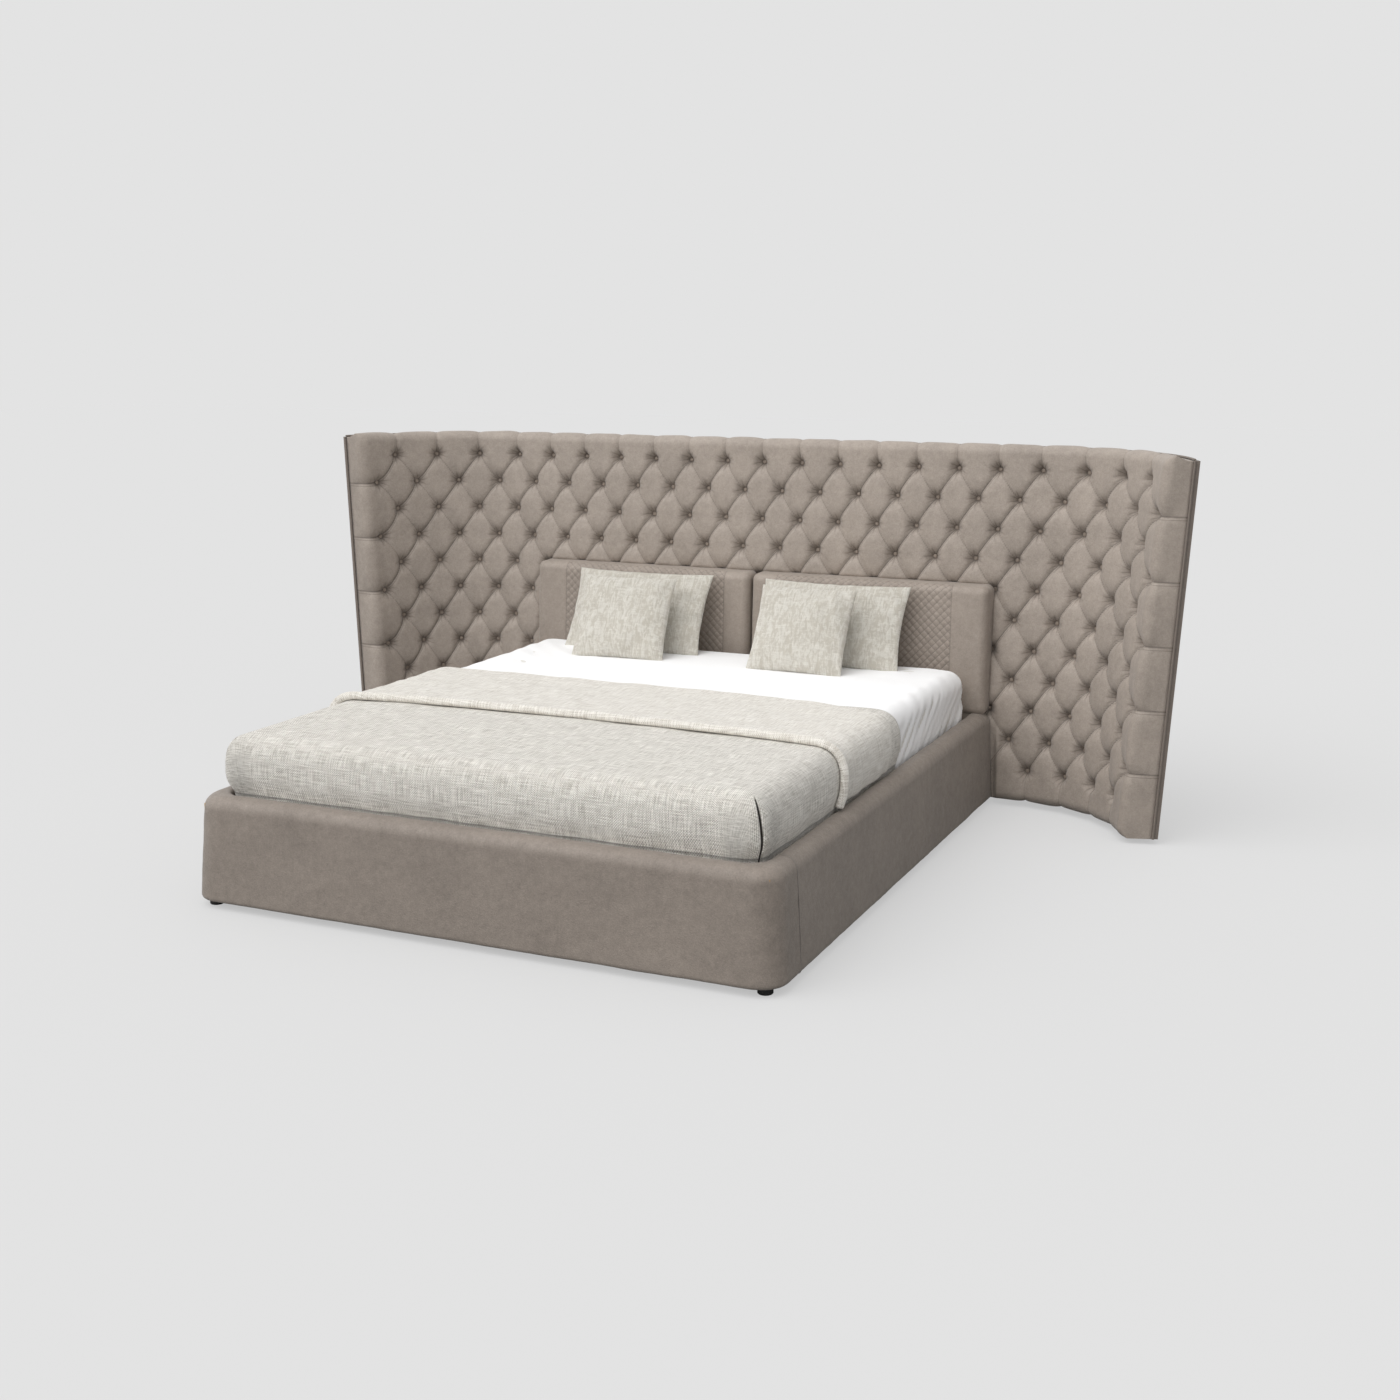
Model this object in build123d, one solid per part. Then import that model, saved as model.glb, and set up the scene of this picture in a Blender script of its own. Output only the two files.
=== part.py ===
from build123d import *
import math
import os

# Upholstered bed with a very wide, winged, deep-buttoned headboard.
# Millimetres. +X is to the right seen from the foot end, +Y runs from the foot to the head, +Z is up.
# The model is drawn with y = 0 at the front of the base, and moved at the end so that the origin
# is the middle of the whole bed on the floor.

# ---- Driving dimensions -----------------------------------------------------------------------
# Bedding
mattress_width = 1800
mattress_length = 2060
mattress_thick = 246
mattress_plan_radius = 70
mattress_edge_radius = 45
sheet_thick = 2
coverlet_thick = 11
coverlet_length = 1190          # from the foot end of the mattress to its head edge
turnback_length = 540           # how much of the head end of the coverlet is folded back
cloth_gap = 0.4                 # air between one layer of bedding and the next

# Base
rim_width = 81                  # padded rim, from its outer face to the mattress well
rim_height = 358
base_underside = 30
base_plan_radius = 100
base_draft = 3.0                # degrees that the padded faces lean in
rim_outer_fillet = 42
rim_bottom_fillet = 14
well_gap = 5                    # between the coverlet and the rim
corner_wrap = 180               # how far the foot pad runs back along each side to its seam
rail_thick = 28
rail_inset = 12                 # padding on the inner face of each rail
rail_top_padding = 28           # padding on top of the rails
head_rail_thick = 42
head_gap = 20                   # between the sheet and the headrests
ledge_size = 30
slat_count = 11
slat_width = 110
slat_thick = 22
slat_end_gap = 4
beam_width = 60
beam_height = 90
block_size = 60
block_gap = 12.5                # between a corner block and the ledge above it
foot_radius = 22.5
foot_inset = 60                 # from the outer faces of the base to the middle of a foot
beam_leg_radius = 25

# Headrests
headrest_end_inset = 24.8       # from the base's side to the headrest's outer end
headrest_split = 6              # gap between the two headrests
headrest_height = 487
headrest_depth = 74             # at the bottom
headrest_front_lean = 2.6       # degrees
headrest_edge_radius = 24
headrest_board = 18
headrest_rail_height = 32
headrest_to_buttons = 28        # between the back of a headrest and the button seats
dowel_radius = 7
dowel_length = 70
dowel_spacing = 600
dowel_clearance = 0.3

# Headboard
headboard_top = 1360
headboard_bottom = 20
wing_start_gap = 113.2          # from the base's side to where the wings start to curve
wing_radius = 523.6             # button seats, at the height of the rim
wing_angle = 72.9
seat_lean = 0.0857              # run back per unit of height
back_lean = 0.0673
headboard_depth_top = 74        # from the button seats to the back, at the top
pad_thick = 30
pad_return = 15                 # foam that wraps the top and the wing ends
board_thick = 12
panel_thick = 18
frame_bar = 60
frame_clearance = 0.5
centre_post_count = 5
piping_radius = 4
piping_gap = 0.3
headboard_foot_radius = 22.5
centre_foot_x = 620
wing_foot_angle = 62

# Buttons
buttons_across_flat = 161.8     # spacing along the surface
button_row_pitch = 114.2
top_row_drop = 80               # from the headboard's top to its first row
bottom_row_margin = 100         # least height of a row above the headboard's bottom
end_button_margin = 0.4         # spacings from the last button to the wing's end
button_radius = 8.5
button_height = 7
button_gap = 0.4

# Joining the base to the headboard
bolt_radius = 5
bolt_head_radius = 9
bolt_head_thick = 6
bolt_clearance = 0.4
spacer_size = 50
bolt_x = 520
bolt_end_play = 1               # a bolt stops this short of the board's back

# Pillows: width, height, thickness, x, turn about the vertical, for the left-hand pair
back_pillow = (590, 375, 112)
front_pillow = (395, 385, 112)
back_pillow_x = 402
front_pillow_x = (-395, 345)
front_pillow_turn = (4, -2)
back_pillow_lean = 38           # degrees from the vertical
front_pillow_lean = 42
pillow_rim_share = 0.30         # part of the width over which a pillow thins to its seam
pillow_seam = 8
pillow_gap = 3
bedding_rest = 1.0              # air under a pillow

# ---- Sizes that follow ------------------------------------------------------------------------
sheet_half = mattress_width / 2 + cloth_gap + sheet_thick
coverlet_half = sheet_half + cloth_gap + coverlet_thick
well_half = coverlet_half + well_gap
base_half = well_half + rim_width
headrest_half_width = base_half - headrest_end_inset
flat_half_width = base_half + wing_start_gap
mattress_front = rim_width + well_gap + coverlet_thick + 2 * cloth_gap + sheet_thick
mattress_rear = mattress_front + mattress_length
headrest_front = mattress_rear + cloth_gap + sheet_thick + head_gap
base_rear = headrest_front + headrest_depth - headrest_board
head_rail_front = base_rear - head_rail_thick
seat_y_at_rim = headrest_front + headrest_depth + headrest_to_buttons
wing_centre_y = seat_y_at_rim - wing_radius
rail_outer = well_half + rail_inset + rail_thick
rail_inner = well_half + rail_inset
rail_top = rim_height - rail_top_padding
foot_rail_front = base_half - rail_outer
foot_rail_rear = foot_rail_front + rail_thick
slat_top = rim_height - 73
slat_bottom = slat_top - slat_thick
ledge_top = slat_bottom - frame_clearance
block_top = ledge_top - ledge_size - block_gap
mattress_bottom = slat_top + frame_clearance
mattress_top = mattress_bottom + mattress_thick
sheet_top = mattress_top + cloth_gap + sheet_thick
coverlet_bottom = slat_top + 12
flap_bottom = slat_top + 2      # where the surround's inner flap ends
button_drop = headboard_top - headboard_bottom - top_row_drop - bottom_row_margin
button_rows = int(button_drop / button_row_pitch) + 1
lowest_row = headboard_top - top_row_drop - (button_rows - 1) * button_row_pitch
wing_run = wing_radius * math.radians(wing_angle)
button_reach = (flat_half_width + wing_run) / buttons_across_flat - end_button_margin
bolt_heights = (lowest_row - button_row_pitch / 2, lowest_row + button_row_pitch / 2)

nodes = {}


def seat_radius(z):
    return wing_radius + seat_lean * (z - rim_height)


def back_radius(z):
    return seat_radius(headboard_top) + headboard_depth_top + back_lean * (z - headboard_top)


def layer(offset):
    """Radius of a surface that lies a fixed distance behind the button seats."""
    return lambda z: seat_radius(z) + offset


def panel_front(z):
    return back_radius(z) - panel_thick


# ---- Shapes that several pieces share ---------------------------------------------------------
def block(x0, x1, y0, y1, z0, z1):
    size = (x1 - x0, y1 - y0, z1 - z0)
    return Pos((x0 + x1) / 2, (y0 + y1) / 2, (z0 + z1) / 2) * Box(*size)


def upright_cylinder(x, y, z0, z1, radius):
    return Pos(x, y, (z0 + z1) / 2) * Cylinder(radius, z1 - z0)


def along_y(x, z, y0, y1, radius):
    return Pos(x, (y0 + y1) / 2, z) * Rot(90, 0, 0) * Cylinder(radius, y1 - y0)


def prism_x(points, x0, x1):
    """A prism along X over an outline of (y, z) points."""
    wire = Wire.make_polygon([(x0, y, z) for y, z in points], close=True)
    return Solid.extrude(Face(wire), Vector(x1 - x0, 0, 0))


def flipped(shape):
    return mirror(shape, about=Plane.YZ)


def flat_wall(front, back, z0, z1, x0, x1):
    """A piece of the headboard's flat middle, between two leaning surfaces."""
    outline = [
        (wing_centre_y + front(z0), z0),
        (wing_centre_y + back(z0), z0),
        (wing_centre_y + back(z1), z1),
        (wing_centre_y + front(z1), z1),
    ]
    return prism_x(outline, x0, x1)


def on_wing(radius, degrees, z):
    angle = math.radians(degrees)
    x = flat_half_width + radius * math.sin(angle)
    y = wing_centre_y + radius * math.cos(angle)
    return Vector(x, y, z)


def wing_outline(front, back, z, a0, a1):
    mid = (a0 + a1) / 2
    inner = [on_wing(front(z), a, z) for a in (a0, mid, a1)]
    outer = [on_wing(back(z), a, z) for a in (a1, mid, a0)]
    edges = [
        Edge.make_three_point_arc(*inner),
        Edge.make_line(inner[2], outer[0]),
        Edge.make_three_point_arc(*outer),
        Edge.make_line(outer[2], inner[0]),
    ]
    return Wire(edges)


def wing_wall(front, back, z0, z1, a0, a1):
    """A piece of the right wing, between two leaning, curved surfaces and two angles."""
    outlines = [wing_outline(front, back, z, a0, a1) for z in (z0, z1)]
    return Solid.make_loft(outlines, ruled=True)


def arc_degrees(length, radius):
    return math.degrees(length / radius)


def rounded_slab(half_width, y0, y1, z0, z1, plan_radius, edge_radius):
    slab = block(-half_width, half_width, y0, y1, z0, z1)
    slab = fillet(slab.edges().filter_by(Axis.Z), plan_radius)
    return fillet(slab.faces().sort_by(Axis.Z)[-1].edges(), edge_radius)


# ---- Base -------------------------------------------------------------------------------------
def surround():
    """The padded, leather-covered surround of the base before it is cut into three pads."""
    overrun = 2 * base_plan_radius
    length = base_rear + overrun
    plan = Pos(0, length / 2, base_underside) * RectangleRounded(2 * base_half, length, base_plan_radius)
    body = extrude(plan, rim_height - base_underside, taper=base_draft)
    body = fillet(body.faces().sort_by(Axis.Z)[-1].edges(), rim_outer_fillet)
    body = fillet(body.faces().sort_by(Axis.Z)[0].edges(), rim_bottom_fillet)
    well = block(-well_half, well_half, rim_width, length, 0, 2 * rim_height)
    well = fillet(well.edges().filter_by(Axis.Z), mattress_plan_radius)
    body = body - well
    rail_slot = block(rail_inner, rail_outer, foot_rail_front, length, 0, rail_top)
    front_slot = block(-rail_outer, rail_outer, foot_rail_front, foot_rail_rear, 0, rail_top)
    under_flap = block(-rail_outer, rail_outer, foot_rail_front, length, 0, flap_bottom)
    head_rail_seat = block(-rail_inner, rail_inner, head_rail_front, length, 0, 2 * rim_height)
    body = body - rail_slot - flipped(rail_slot) - front_slot - under_flap - head_rail_seat
    keep = block(-base_half, base_half, -1, base_rear, 0, 2 * rim_height)
    return body & keep


def base_pads():
    body = surround()
    wide = 2 * base_half
    nodes["base_pad_foot"] = body & block(-wide, wide, -1, corner_wrap, 0, 2 * rim_height)
    right = body & block(0, wide, corner_wrap, base_rear, 0, 2 * rim_height)
    nodes["base_pad_right"] = right
    nodes["base_pad_left"] = flipped(right)


def base_rails():
    side = block(rail_inner, rail_outer, foot_rail_rear, base_rear, base_underside, rail_top)
    nodes["side_rail_right"] = side
    nodes["side_rail_left"] = flipped(side)
    foot = block(-rail_outer, rail_outer, foot_rail_front, foot_rail_rear, base_underside, rail_top)
    nodes["foot_rail"] = foot
    head = block(-rail_inner, rail_inner, head_rail_front, base_rear, base_underside, rim_height)
    nodes["head_rail"] = head - bolt_holes() - dowel_holes()


def corner_blocks():
    front = foot_rail_rear
    rear = head_rail_front
    pieces = []
    for y0, y1 in ((front, front + block_size), (rear - block_size, rear)):
        right = block(rail_inner - block_size, rail_inner, y0, y1, base_underside, block_top)
        pieces += [right, flipped(right)]
    nodes["corner_blocks"] = Compound(children=pieces)


def slat_support():
    front = foot_rail_rear
    rear = head_rail_front
    ledge = block(rail_inner - ledge_size, rail_inner, front, rear, ledge_top - ledge_size, ledge_top)
    nodes["slat_ledge_right"] = ledge
    nodes["slat_ledge_left"] = flipped(ledge)
    beam = block(-beam_width / 2, beam_width / 2, front, rear, ledge_top - beam_height, ledge_top)
    nodes["centre_beam"] = beam
    leg_y = (front + rear) / 2
    nodes["beam_leg"] = upright_cylinder(0, leg_y, 0, ledge_top - beam_height, beam_leg_radius)


def slats():
    half = rail_inner - slat_end_gap
    first = foot_rail_rear + slat_width
    last = head_rail_front - slat_width
    pitch = (last - first) / (slat_count - 1)
    for number in range(slat_count):
        y = first + number * pitch
        slat = block(-half, half, y - slat_width / 2, y + slat_width / 2, slat_bottom, slat_top)
        slat = fillet(slat.edges().filter_by(Axis.X), slat_thick / 8)
        nodes[f"slat_{number + 1:02d}"] = slat


def base_feet():
    x = base_half - foot_inset
    for end, y in (("front", foot_inset), ("rear", base_rear - foot_inset)):
        foot = upright_cylinder(x, y, 0, base_underside, foot_radius)
        foot = chamfer(foot.faces().sort_by(Axis.Z)[0].edges(), foot_radius / 10)
        nodes[f"base_foot_{end}_right"] = foot
        nodes[f"base_foot_{end}_left"] = flipped(foot)


# ---- Headrests --------------------------------------------------------------------------------
def headrest_front_y(z):
    return headrest_front + math.tan(math.radians(headrest_front_lean)) * (z - rim_height)


def headrest_back_y(z):
    return headrest_front + headrest_depth + seat_lean * (z - rim_height)


def headrest_outline(front_inset, z0, z1, from_back=None):
    """Outline in Y and Z: the full depth, or only a board's thickness at the back."""
    def front(z):
        if from_back is None:
            return headrest_front_y(z) + front_inset
        return headrest_back_y(z) - from_back
    return [(front(z0), z0), (headrest_back_y(z0), z0), (headrest_back_y(z1), z1), (front(z1), z1)]


def headrests():
    z0 = rim_height + frame_clearance
    z1 = rim_height + headrest_height
    x0 = headrest_split / 2
    x1 = headrest_half_width
    body = prism_x(headrest_outline(0, z0, z1), x0, x1)
    front = body.faces().sort_by(Axis.Y)[0]
    uprights = front.edges().sort_by(Axis.X)
    rim = ShapeList([uprights[0], uprights[-1], front.edges().sort_by(Axis.Z)[-1]])
    body = fillet(rim, headrest_edge_radius)
    side = headrest_board
    z_rail = z0 + headrest_rail_height
    board = prism_x(headrest_outline(0, z0, z1 - side, headrest_board), x0 + side, x1 - side)
    rail = prism_x(headrest_outline(side, z0, z_rail), x0 + side, x1 - side)
    core = board + rail
    right_core = core - dowel_holes()
    nodes["headrest_pad_right"] = body - core
    nodes["headrest_pad_left"] = flipped(body - core)
    nodes["headrest_core_right"] = right_core
    nodes["headrest_core_left"] = flipped(right_core)


def dowel_places():
    middle = (headrest_half_width + headrest_split / 2) / 2
    xs = (middle - dowel_spacing / 2, middle + dowel_spacing / 2)
    return [side * x for side in (-1, 1) for x in xs]


def dowel_row(radius, z0, z1):
    y = base_rear - head_rail_thick / 2
    return [upright_cylinder(x, y, z0, z1, radius) for x in dowel_places()]


def dowel_span():
    top = rim_height + headrest_rail_height * 0.75
    return top - dowel_length, top


def dowel_holes():
    z0, z1 = dowel_span()
    return Compound(children=dowel_row(dowel_radius + dowel_clearance, z0 - 2, z1 + 2))


def headrest_dowels():
    z0, z1 = dowel_span()
    nodes["headrest_dowels"] = Compound(children=dowel_row(dowel_radius, z0, z1))


# ---- Headboard --------------------------------------------------------------------------------
def end_angle_inside(inset, z):
    return wing_angle - arc_degrees(inset, seat_radius(z))


def wing_pad():
    outer = wing_wall(layer(0), panel_front, headboard_bottom, headboard_top, 0, wing_angle)
    hollow_end = end_angle_inside(pad_return, rim_height)
    hollow_top = headboard_top - pad_return
    through = layer(3 * headboard_depth_top)
    hollow = wing_wall(layer(pad_thick), through, 0, hollow_top, -5, hollow_end)
    return outer - hollow


def centre_pad():
    half = flat_half_width
    outer = flat_wall(layer(0), panel_front, headboard_bottom, headboard_top, -half, half)
    hollow_top = headboard_top - pad_return
    through = layer(3 * headboard_depth_top)
    hollow = flat_wall(layer(pad_thick), through, 0, hollow_top, -2 * half, 2 * half)
    return outer - hollow - bolt_holes()


def wing_frame(front, back, z0, z1, a1):
    """Curved top and bottom rails with three tapered posts."""
    body = wing_wall(front, back, z0, z1, 0, a1)
    bar = arc_degrees(frame_bar, wing_radius)
    window = (a1 - 3 * bar) / 2
    through = layer(3 * headboard_depth_top)
    for start in (bar, 2 * bar + window):
        body = body - wing_wall(layer(0), through, z0 + frame_bar, z1 - frame_bar, start, start + window)
    return body


def centre_frame(front, back, z0, z1):
    """Top and bottom rails with evenly spaced tapered posts."""
    half = flat_half_width - frame_clearance
    body = flat_wall(front, back, z0, z1, -half, half)
    through = layer(3 * headboard_depth_top)
    pitch = (2 * half - frame_bar) / (centre_post_count - 1)
    for number in range(centre_post_count - 1):
        x0 = -half + number * pitch + frame_bar
        x1 = -half + (number + 1) * pitch
        body = body - flat_wall(layer(0), through, z0 + frame_bar, z1 - frame_bar, x0, x1)
    return body


def headboard():
    half = flat_half_width
    inner_top = headboard_top - pad_return - frame_clearance
    inner_end = end_angle_inside(pad_return + frame_clearance, rim_height)
    z0 = headboard_bottom
    board_front = layer(pad_thick)
    board_back = layer(pad_thick + board_thick)
    right_pieces = {
        "headboard_pad": wing_pad(),
        "headboard_board": wing_wall(board_front, board_back, z0, inner_top, 0, inner_end),
        "headboard_frame": wing_frame(board_back, panel_front, z0, inner_top, inner_end),
        "headboard_back_panel": wing_wall(panel_front, back_radius, z0, headboard_top, 0, wing_angle),
    }
    for name, piece in right_pieces.items():
        nodes[name + "_right"] = piece
        nodes[name + "_left"] = flipped(piece)
    nodes["headboard_pad_centre"] = centre_pad()
    board = flat_wall(board_front, board_back, z0, inner_top, -half, half)
    nodes["headboard_board_centre"] = board - bolt_holes()
    nodes["headboard_frame_centre"] = centre_frame(board_back, panel_front, z0, inner_top)
    panel = flat_wall(panel_front, back_radius, z0, headboard_top, -half, half)
    nodes["headboard_back_panel_centre"] = panel


def end_line(z, proud):
    """The point where the front cover meets the back panel on the right wing's end."""
    point = on_wing(panel_front(z), wing_angle, z)
    angle = math.radians(wing_angle)
    forward = Vector(math.cos(angle), -math.sin(angle), 0)
    return point + forward * proud


def edge_piping():
    proud = piping_radius + piping_gap
    low = end_line(headboard_bottom, proud)
    high = end_line(headboard_top, proud)
    high = Vector(high.X, high.Y, headboard_top + proud)
    top = headboard_top + proud
    radius = panel_front(headboard_top)
    arc_points = [on_wing(radius, angle, top) for angle in (0, wing_angle / 2, wing_angle)]
    left_points = [Vector(-p.X, p.Y, p.Z) for p in reversed(arc_points)]
    spans = [
        Edge.make_line(low, high),
        Edge.make_three_point_arc(*arc_points),
        Edge.make_line(left_points[2], arc_points[0]),
        Edge.make_three_point_arc(*left_points),
        Edge.make_line(Vector(-low.X, low.Y, low.Z), Vector(-high.X, high.Y, high.Z)),
    ]
    cords = []
    for span in spans:
        section = Plane(span @ 0, z_dir=span % 0) * Circle(piping_radius)
        cords.append(sweep(section, path=span))
    end_gap = piping_radius
    cords[0] = cords[0] & block(0, 3 * base_half, 0, 2 * base_rear, headboard_bottom, top - end_gap)
    cords[4] = cords[4] & block(-3 * base_half, 0, 0, 2 * base_rear, headboard_bottom, top - end_gap)
    nodes["edge_piping"] = Compound(children=cords)


def button_seat(steps, z):
    """Place and forward direction of a button, counted in spacings from the middle of the bed."""
    side = math.copysign(1, steps)
    along = abs(steps) * buttons_across_flat
    degrees = 0
    if along > flat_half_width:
        degrees = arc_degrees(along - flat_half_width, wing_radius)
        point = on_wing(seat_radius(z), degrees, z)
    else:
        point = Vector(along, wing_centre_y + seat_radius(z), z)
    angle = math.radians(degrees)
    normal = Vector(-side * math.sin(angle), -math.cos(angle), seat_lean).normalized()
    return Vector(side * point.X, point.Y, z), normal


def tuft_buttons():
    button = Pos(0, 0, button_height / 2) * Cylinder(button_radius, button_height)
    button = fillet(button.faces().sort_by(Axis.Z)[-1].edges(), button_height * 0.7)
    pieces = []
    for row in range(button_rows):
        z = headboard_top - top_row_drop - row * button_row_pitch
        shift = 0.5 * (row % 2)
        right = [k + shift for k in range(int(button_reach - shift) + 1)]
        steps = sorted(set(right) | {-step for step in right})
        for step in steps:
            point, normal = button_seat(step, z)
            seat = Plane(point + normal * button_gap, x_dir=(0, 0, 1), z_dir=normal)
            pieces.append(seat * button)
    nodes["tuft_buttons"] = Compound(children=pieces)


def headboard_feet():
    z = headboard_bottom
    reach = pad_thick + board_thick + headboard_foot_radius / 2
    wing_point = on_wing(seat_radius(z) + reach, wing_foot_angle, 0)
    wing = upright_cylinder(wing_point.X, wing_point.Y, 0, z, headboard_foot_radius)
    centre_y = wing_centre_y + seat_radius(z) + reach
    centre = upright_cylinder(centre_foot_x, centre_y, 0, z, headboard_foot_radius)
    nodes["headboard_foot_wing_right"] = wing
    nodes["headboard_foot_wing_left"] = flipped(wing)
    nodes["headboard_foot_centre_right"] = centre
    nodes["headboard_foot_centre_left"] = flipped(centre)


# ---- Bolts between the base and the headboard -------------------------------------------------
def bolt_places():
    return [(side * bolt_x, z) for side in (-1, 1) for z in bolt_heights]


def bolt_end(z):
    return wing_centre_y + seat_radius(z) + pad_thick + board_thick - bolt_end_play


def bolt_holes():
    radius = bolt_radius + bolt_clearance
    start = head_rail_front - 1
    holes = [along_y(x, z, start, bolt_end(z) + 2 * bolt_end_play, radius) for x, z in bolt_places()]
    return Compound(children=holes)


def joining_bolts():
    bolts = []
    spacers = []
    half = spacer_size / 2
    for x, z in bolt_places():
        head = along_y(x, z, head_rail_front - bolt_head_thick, head_rail_front, bolt_head_radius)
        shank = along_y(x, z, head_rail_front, bolt_end(z), bolt_radius)
        bolts.append(head + shank)
        outline = [
            (base_rear, z - half),
            (wing_centre_y + seat_radius(z - half), z - half),
            (wing_centre_y + seat_radius(z + half), z + half),
            (base_rear, z + half),
        ]
        spacer = prism_x(outline, x - half, x + half)
        spacers.append(spacer - along_y(x, z, base_rear - 1, bolt_end(z), bolt_radius + bolt_clearance))
    nodes["joining_bolts"] = Compound(children=bolts)
    nodes["joining_spacers"] = Compound(children=spacers)


# ---- Bedding ----------------------------------------------------------------------------------
def bedding_slab(grow, z0, z1):
    """The mattress's rounded shape, grown on every side but the bottom."""
    half = mattress_width / 2 + grow
    y0 = mattress_front - grow
    y1 = mattress_rear + grow
    plan_radius = mattress_plan_radius + grow
    return rounded_slab(half, y0, y1, z0, z1, plan_radius, mattress_edge_radius + grow)


def bedding():
    nodes["mattress"] = bedding_slab(0, mattress_bottom, mattress_top)
    gap = cloth_gap
    sheet_out = gap + sheet_thick
    sheet = bedding_slab(sheet_out, mattress_bottom, mattress_top + sheet_out)
    inside = bedding_slab(gap, mattress_bottom - 1, mattress_top + gap)
    nodes["fitted_sheet"] = sheet - inside
    inner = sheet_out + gap
    outer = inner + coverlet_thick
    doubled = outer + coverlet_thick
    low = coverlet_bottom
    cover_shape = bedding_slab(outer, low, mattress_top + outer)
    cover = cover_shape - bedding_slab(inner, low - 1, mattress_top + inner)
    head_edge = mattress_front + coverlet_length
    wide = 2 * base_half
    cover = cover & block(-wide, wide, -wide, head_edge, 0, 2 * headboard_top)
    band_low = rim_height + coverlet_thick
    band = bedding_slab(doubled, band_low, mattress_top + doubled) - cover_shape
    band = band & block(-wide, wide, head_edge - turnback_length, head_edge, 0, 2 * headboard_top)
    nodes["coverlet"] = cover
    nodes["coverlet_turnback"] = band


def pillow(size):
    """A pillow lying in the XZ plane with its middle at the origin: thin seam, thick middle."""
    width, height, thick = size
    rim = height * pillow_rim_share
    outlines = [
        (height - 2 * rim, width - 2 * rim, -thick / 2),
        (height, width, -pillow_seam / 2),
        (height, width, pillow_seam / 2),
        (height - 2 * rim, width - 2 * rim, thick / 2),
    ]
    faces = []
    for high, wide, y in outlines:
        upright = Plane(origin=(0, y, 0), x_dir=(1, 0, 0), z_dir=(0, -1, 0))
        faces.append(upright * RectangleRounded(wide, high, rim / 5))
    return loft(faces, ruled=True)


def leaned(shape, lean, turn, x, y, z):
    """Lean the top back by lean degrees, turn about the vertical, and move into place."""
    return Pos(x, y, z) * Rot(0, 0, turn) * Rot(-lean, 0, 0) * shape


def pillow_centre_height(size, lean):
    half = size[1] / 2
    return half * math.cos(math.radians(lean)) + pillow_seam / 2 * math.sin(math.radians(lean))


def pillows():
    lean = math.radians(back_pillow_lean)
    back_z = sheet_top + bedding_rest + pillow_centre_height(back_pillow, back_pillow_lean)
    half_run = back_pillow[1] / 2 * math.sin(lean)
    back_y = headrest_front_y(back_z + half_run) - pillow_gap - half_run - 2 * pillow_seam
    front_z = sheet_top + bedding_rest + pillow_centre_height(front_pillow, front_pillow_lean)
    apart = (back_pillow[2] + front_pillow[2]) / 2 + 3 * pillow_gap
    front_y = back_y - apart / math.cos(lean) - (back_z - front_z) * math.tan(lean)
    for number, side in enumerate(("left", "right")):
        sign = (-1, 1)[number]
        back = leaned(pillow(back_pillow), back_pillow_lean, 0, sign * back_pillow_x, back_y, back_z)
        turn = front_pillow_turn[number]
        x = front_pillow_x[number]
        front = leaned(pillow(front_pillow), front_pillow_lean, turn, x, front_y, front_z)
        nodes[f"pillow_back_{side}"] = back
        nodes[f"pillow_front_{side}"] = front


# ---- Build everything, centre it and write it out ---------------------------------------------
def build():
    base_pads()
    base_rails()
    corner_blocks()
    slat_support()
    slats()
    base_feet()
    headrests()
    headrest_dowels()
    headboard()
    edge_piping()
    tuft_buttons()
    headboard_feet()
    joining_bolts()
    bedding()
    pillows()


def write():
    os.makedirs("parts", exist_ok=True)
    boxes = [shape.bounding_box() for shape in nodes.values()]
    front = min(box.min.Y for box in boxes)
    rear = max(box.max.Y for box in boxes)
    middle = (front + rear) / 2
    for name, shape in nodes.items():
        solids = [Pos(0, -middle, 0) * solid for solid in shape.solids()]
        export_step(solids[0] if len(solids) == 1 else Compound(children=solids), f"parts/{name}.step")
    width = max(box.max.X for box in boxes) - min(box.min.X for box in boxes)
    height = max(box.max.Z for box in boxes)
    print(f"{len(nodes)} nodes, {width:.0f} x {rear - front:.0f} x {height:.0f} mm")
    print(f"the origin is {middle:.2f} mm behind the front of the base")


build()
write()
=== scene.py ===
# %% [markdown]
# # An upholstered bed with a deep-buttoned headboard
# The timber and the hardware come ready made as a fixed frame. This lesson adds the light, the camera and
# everything soft: the buttoned cover, the leather pads of the base, the quilted headrests, the bedding and
# the pillows. Each soft shape is a formula over a grid, worked out with numpy for all its points at once.

# %% Load the frame
import math

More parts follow.
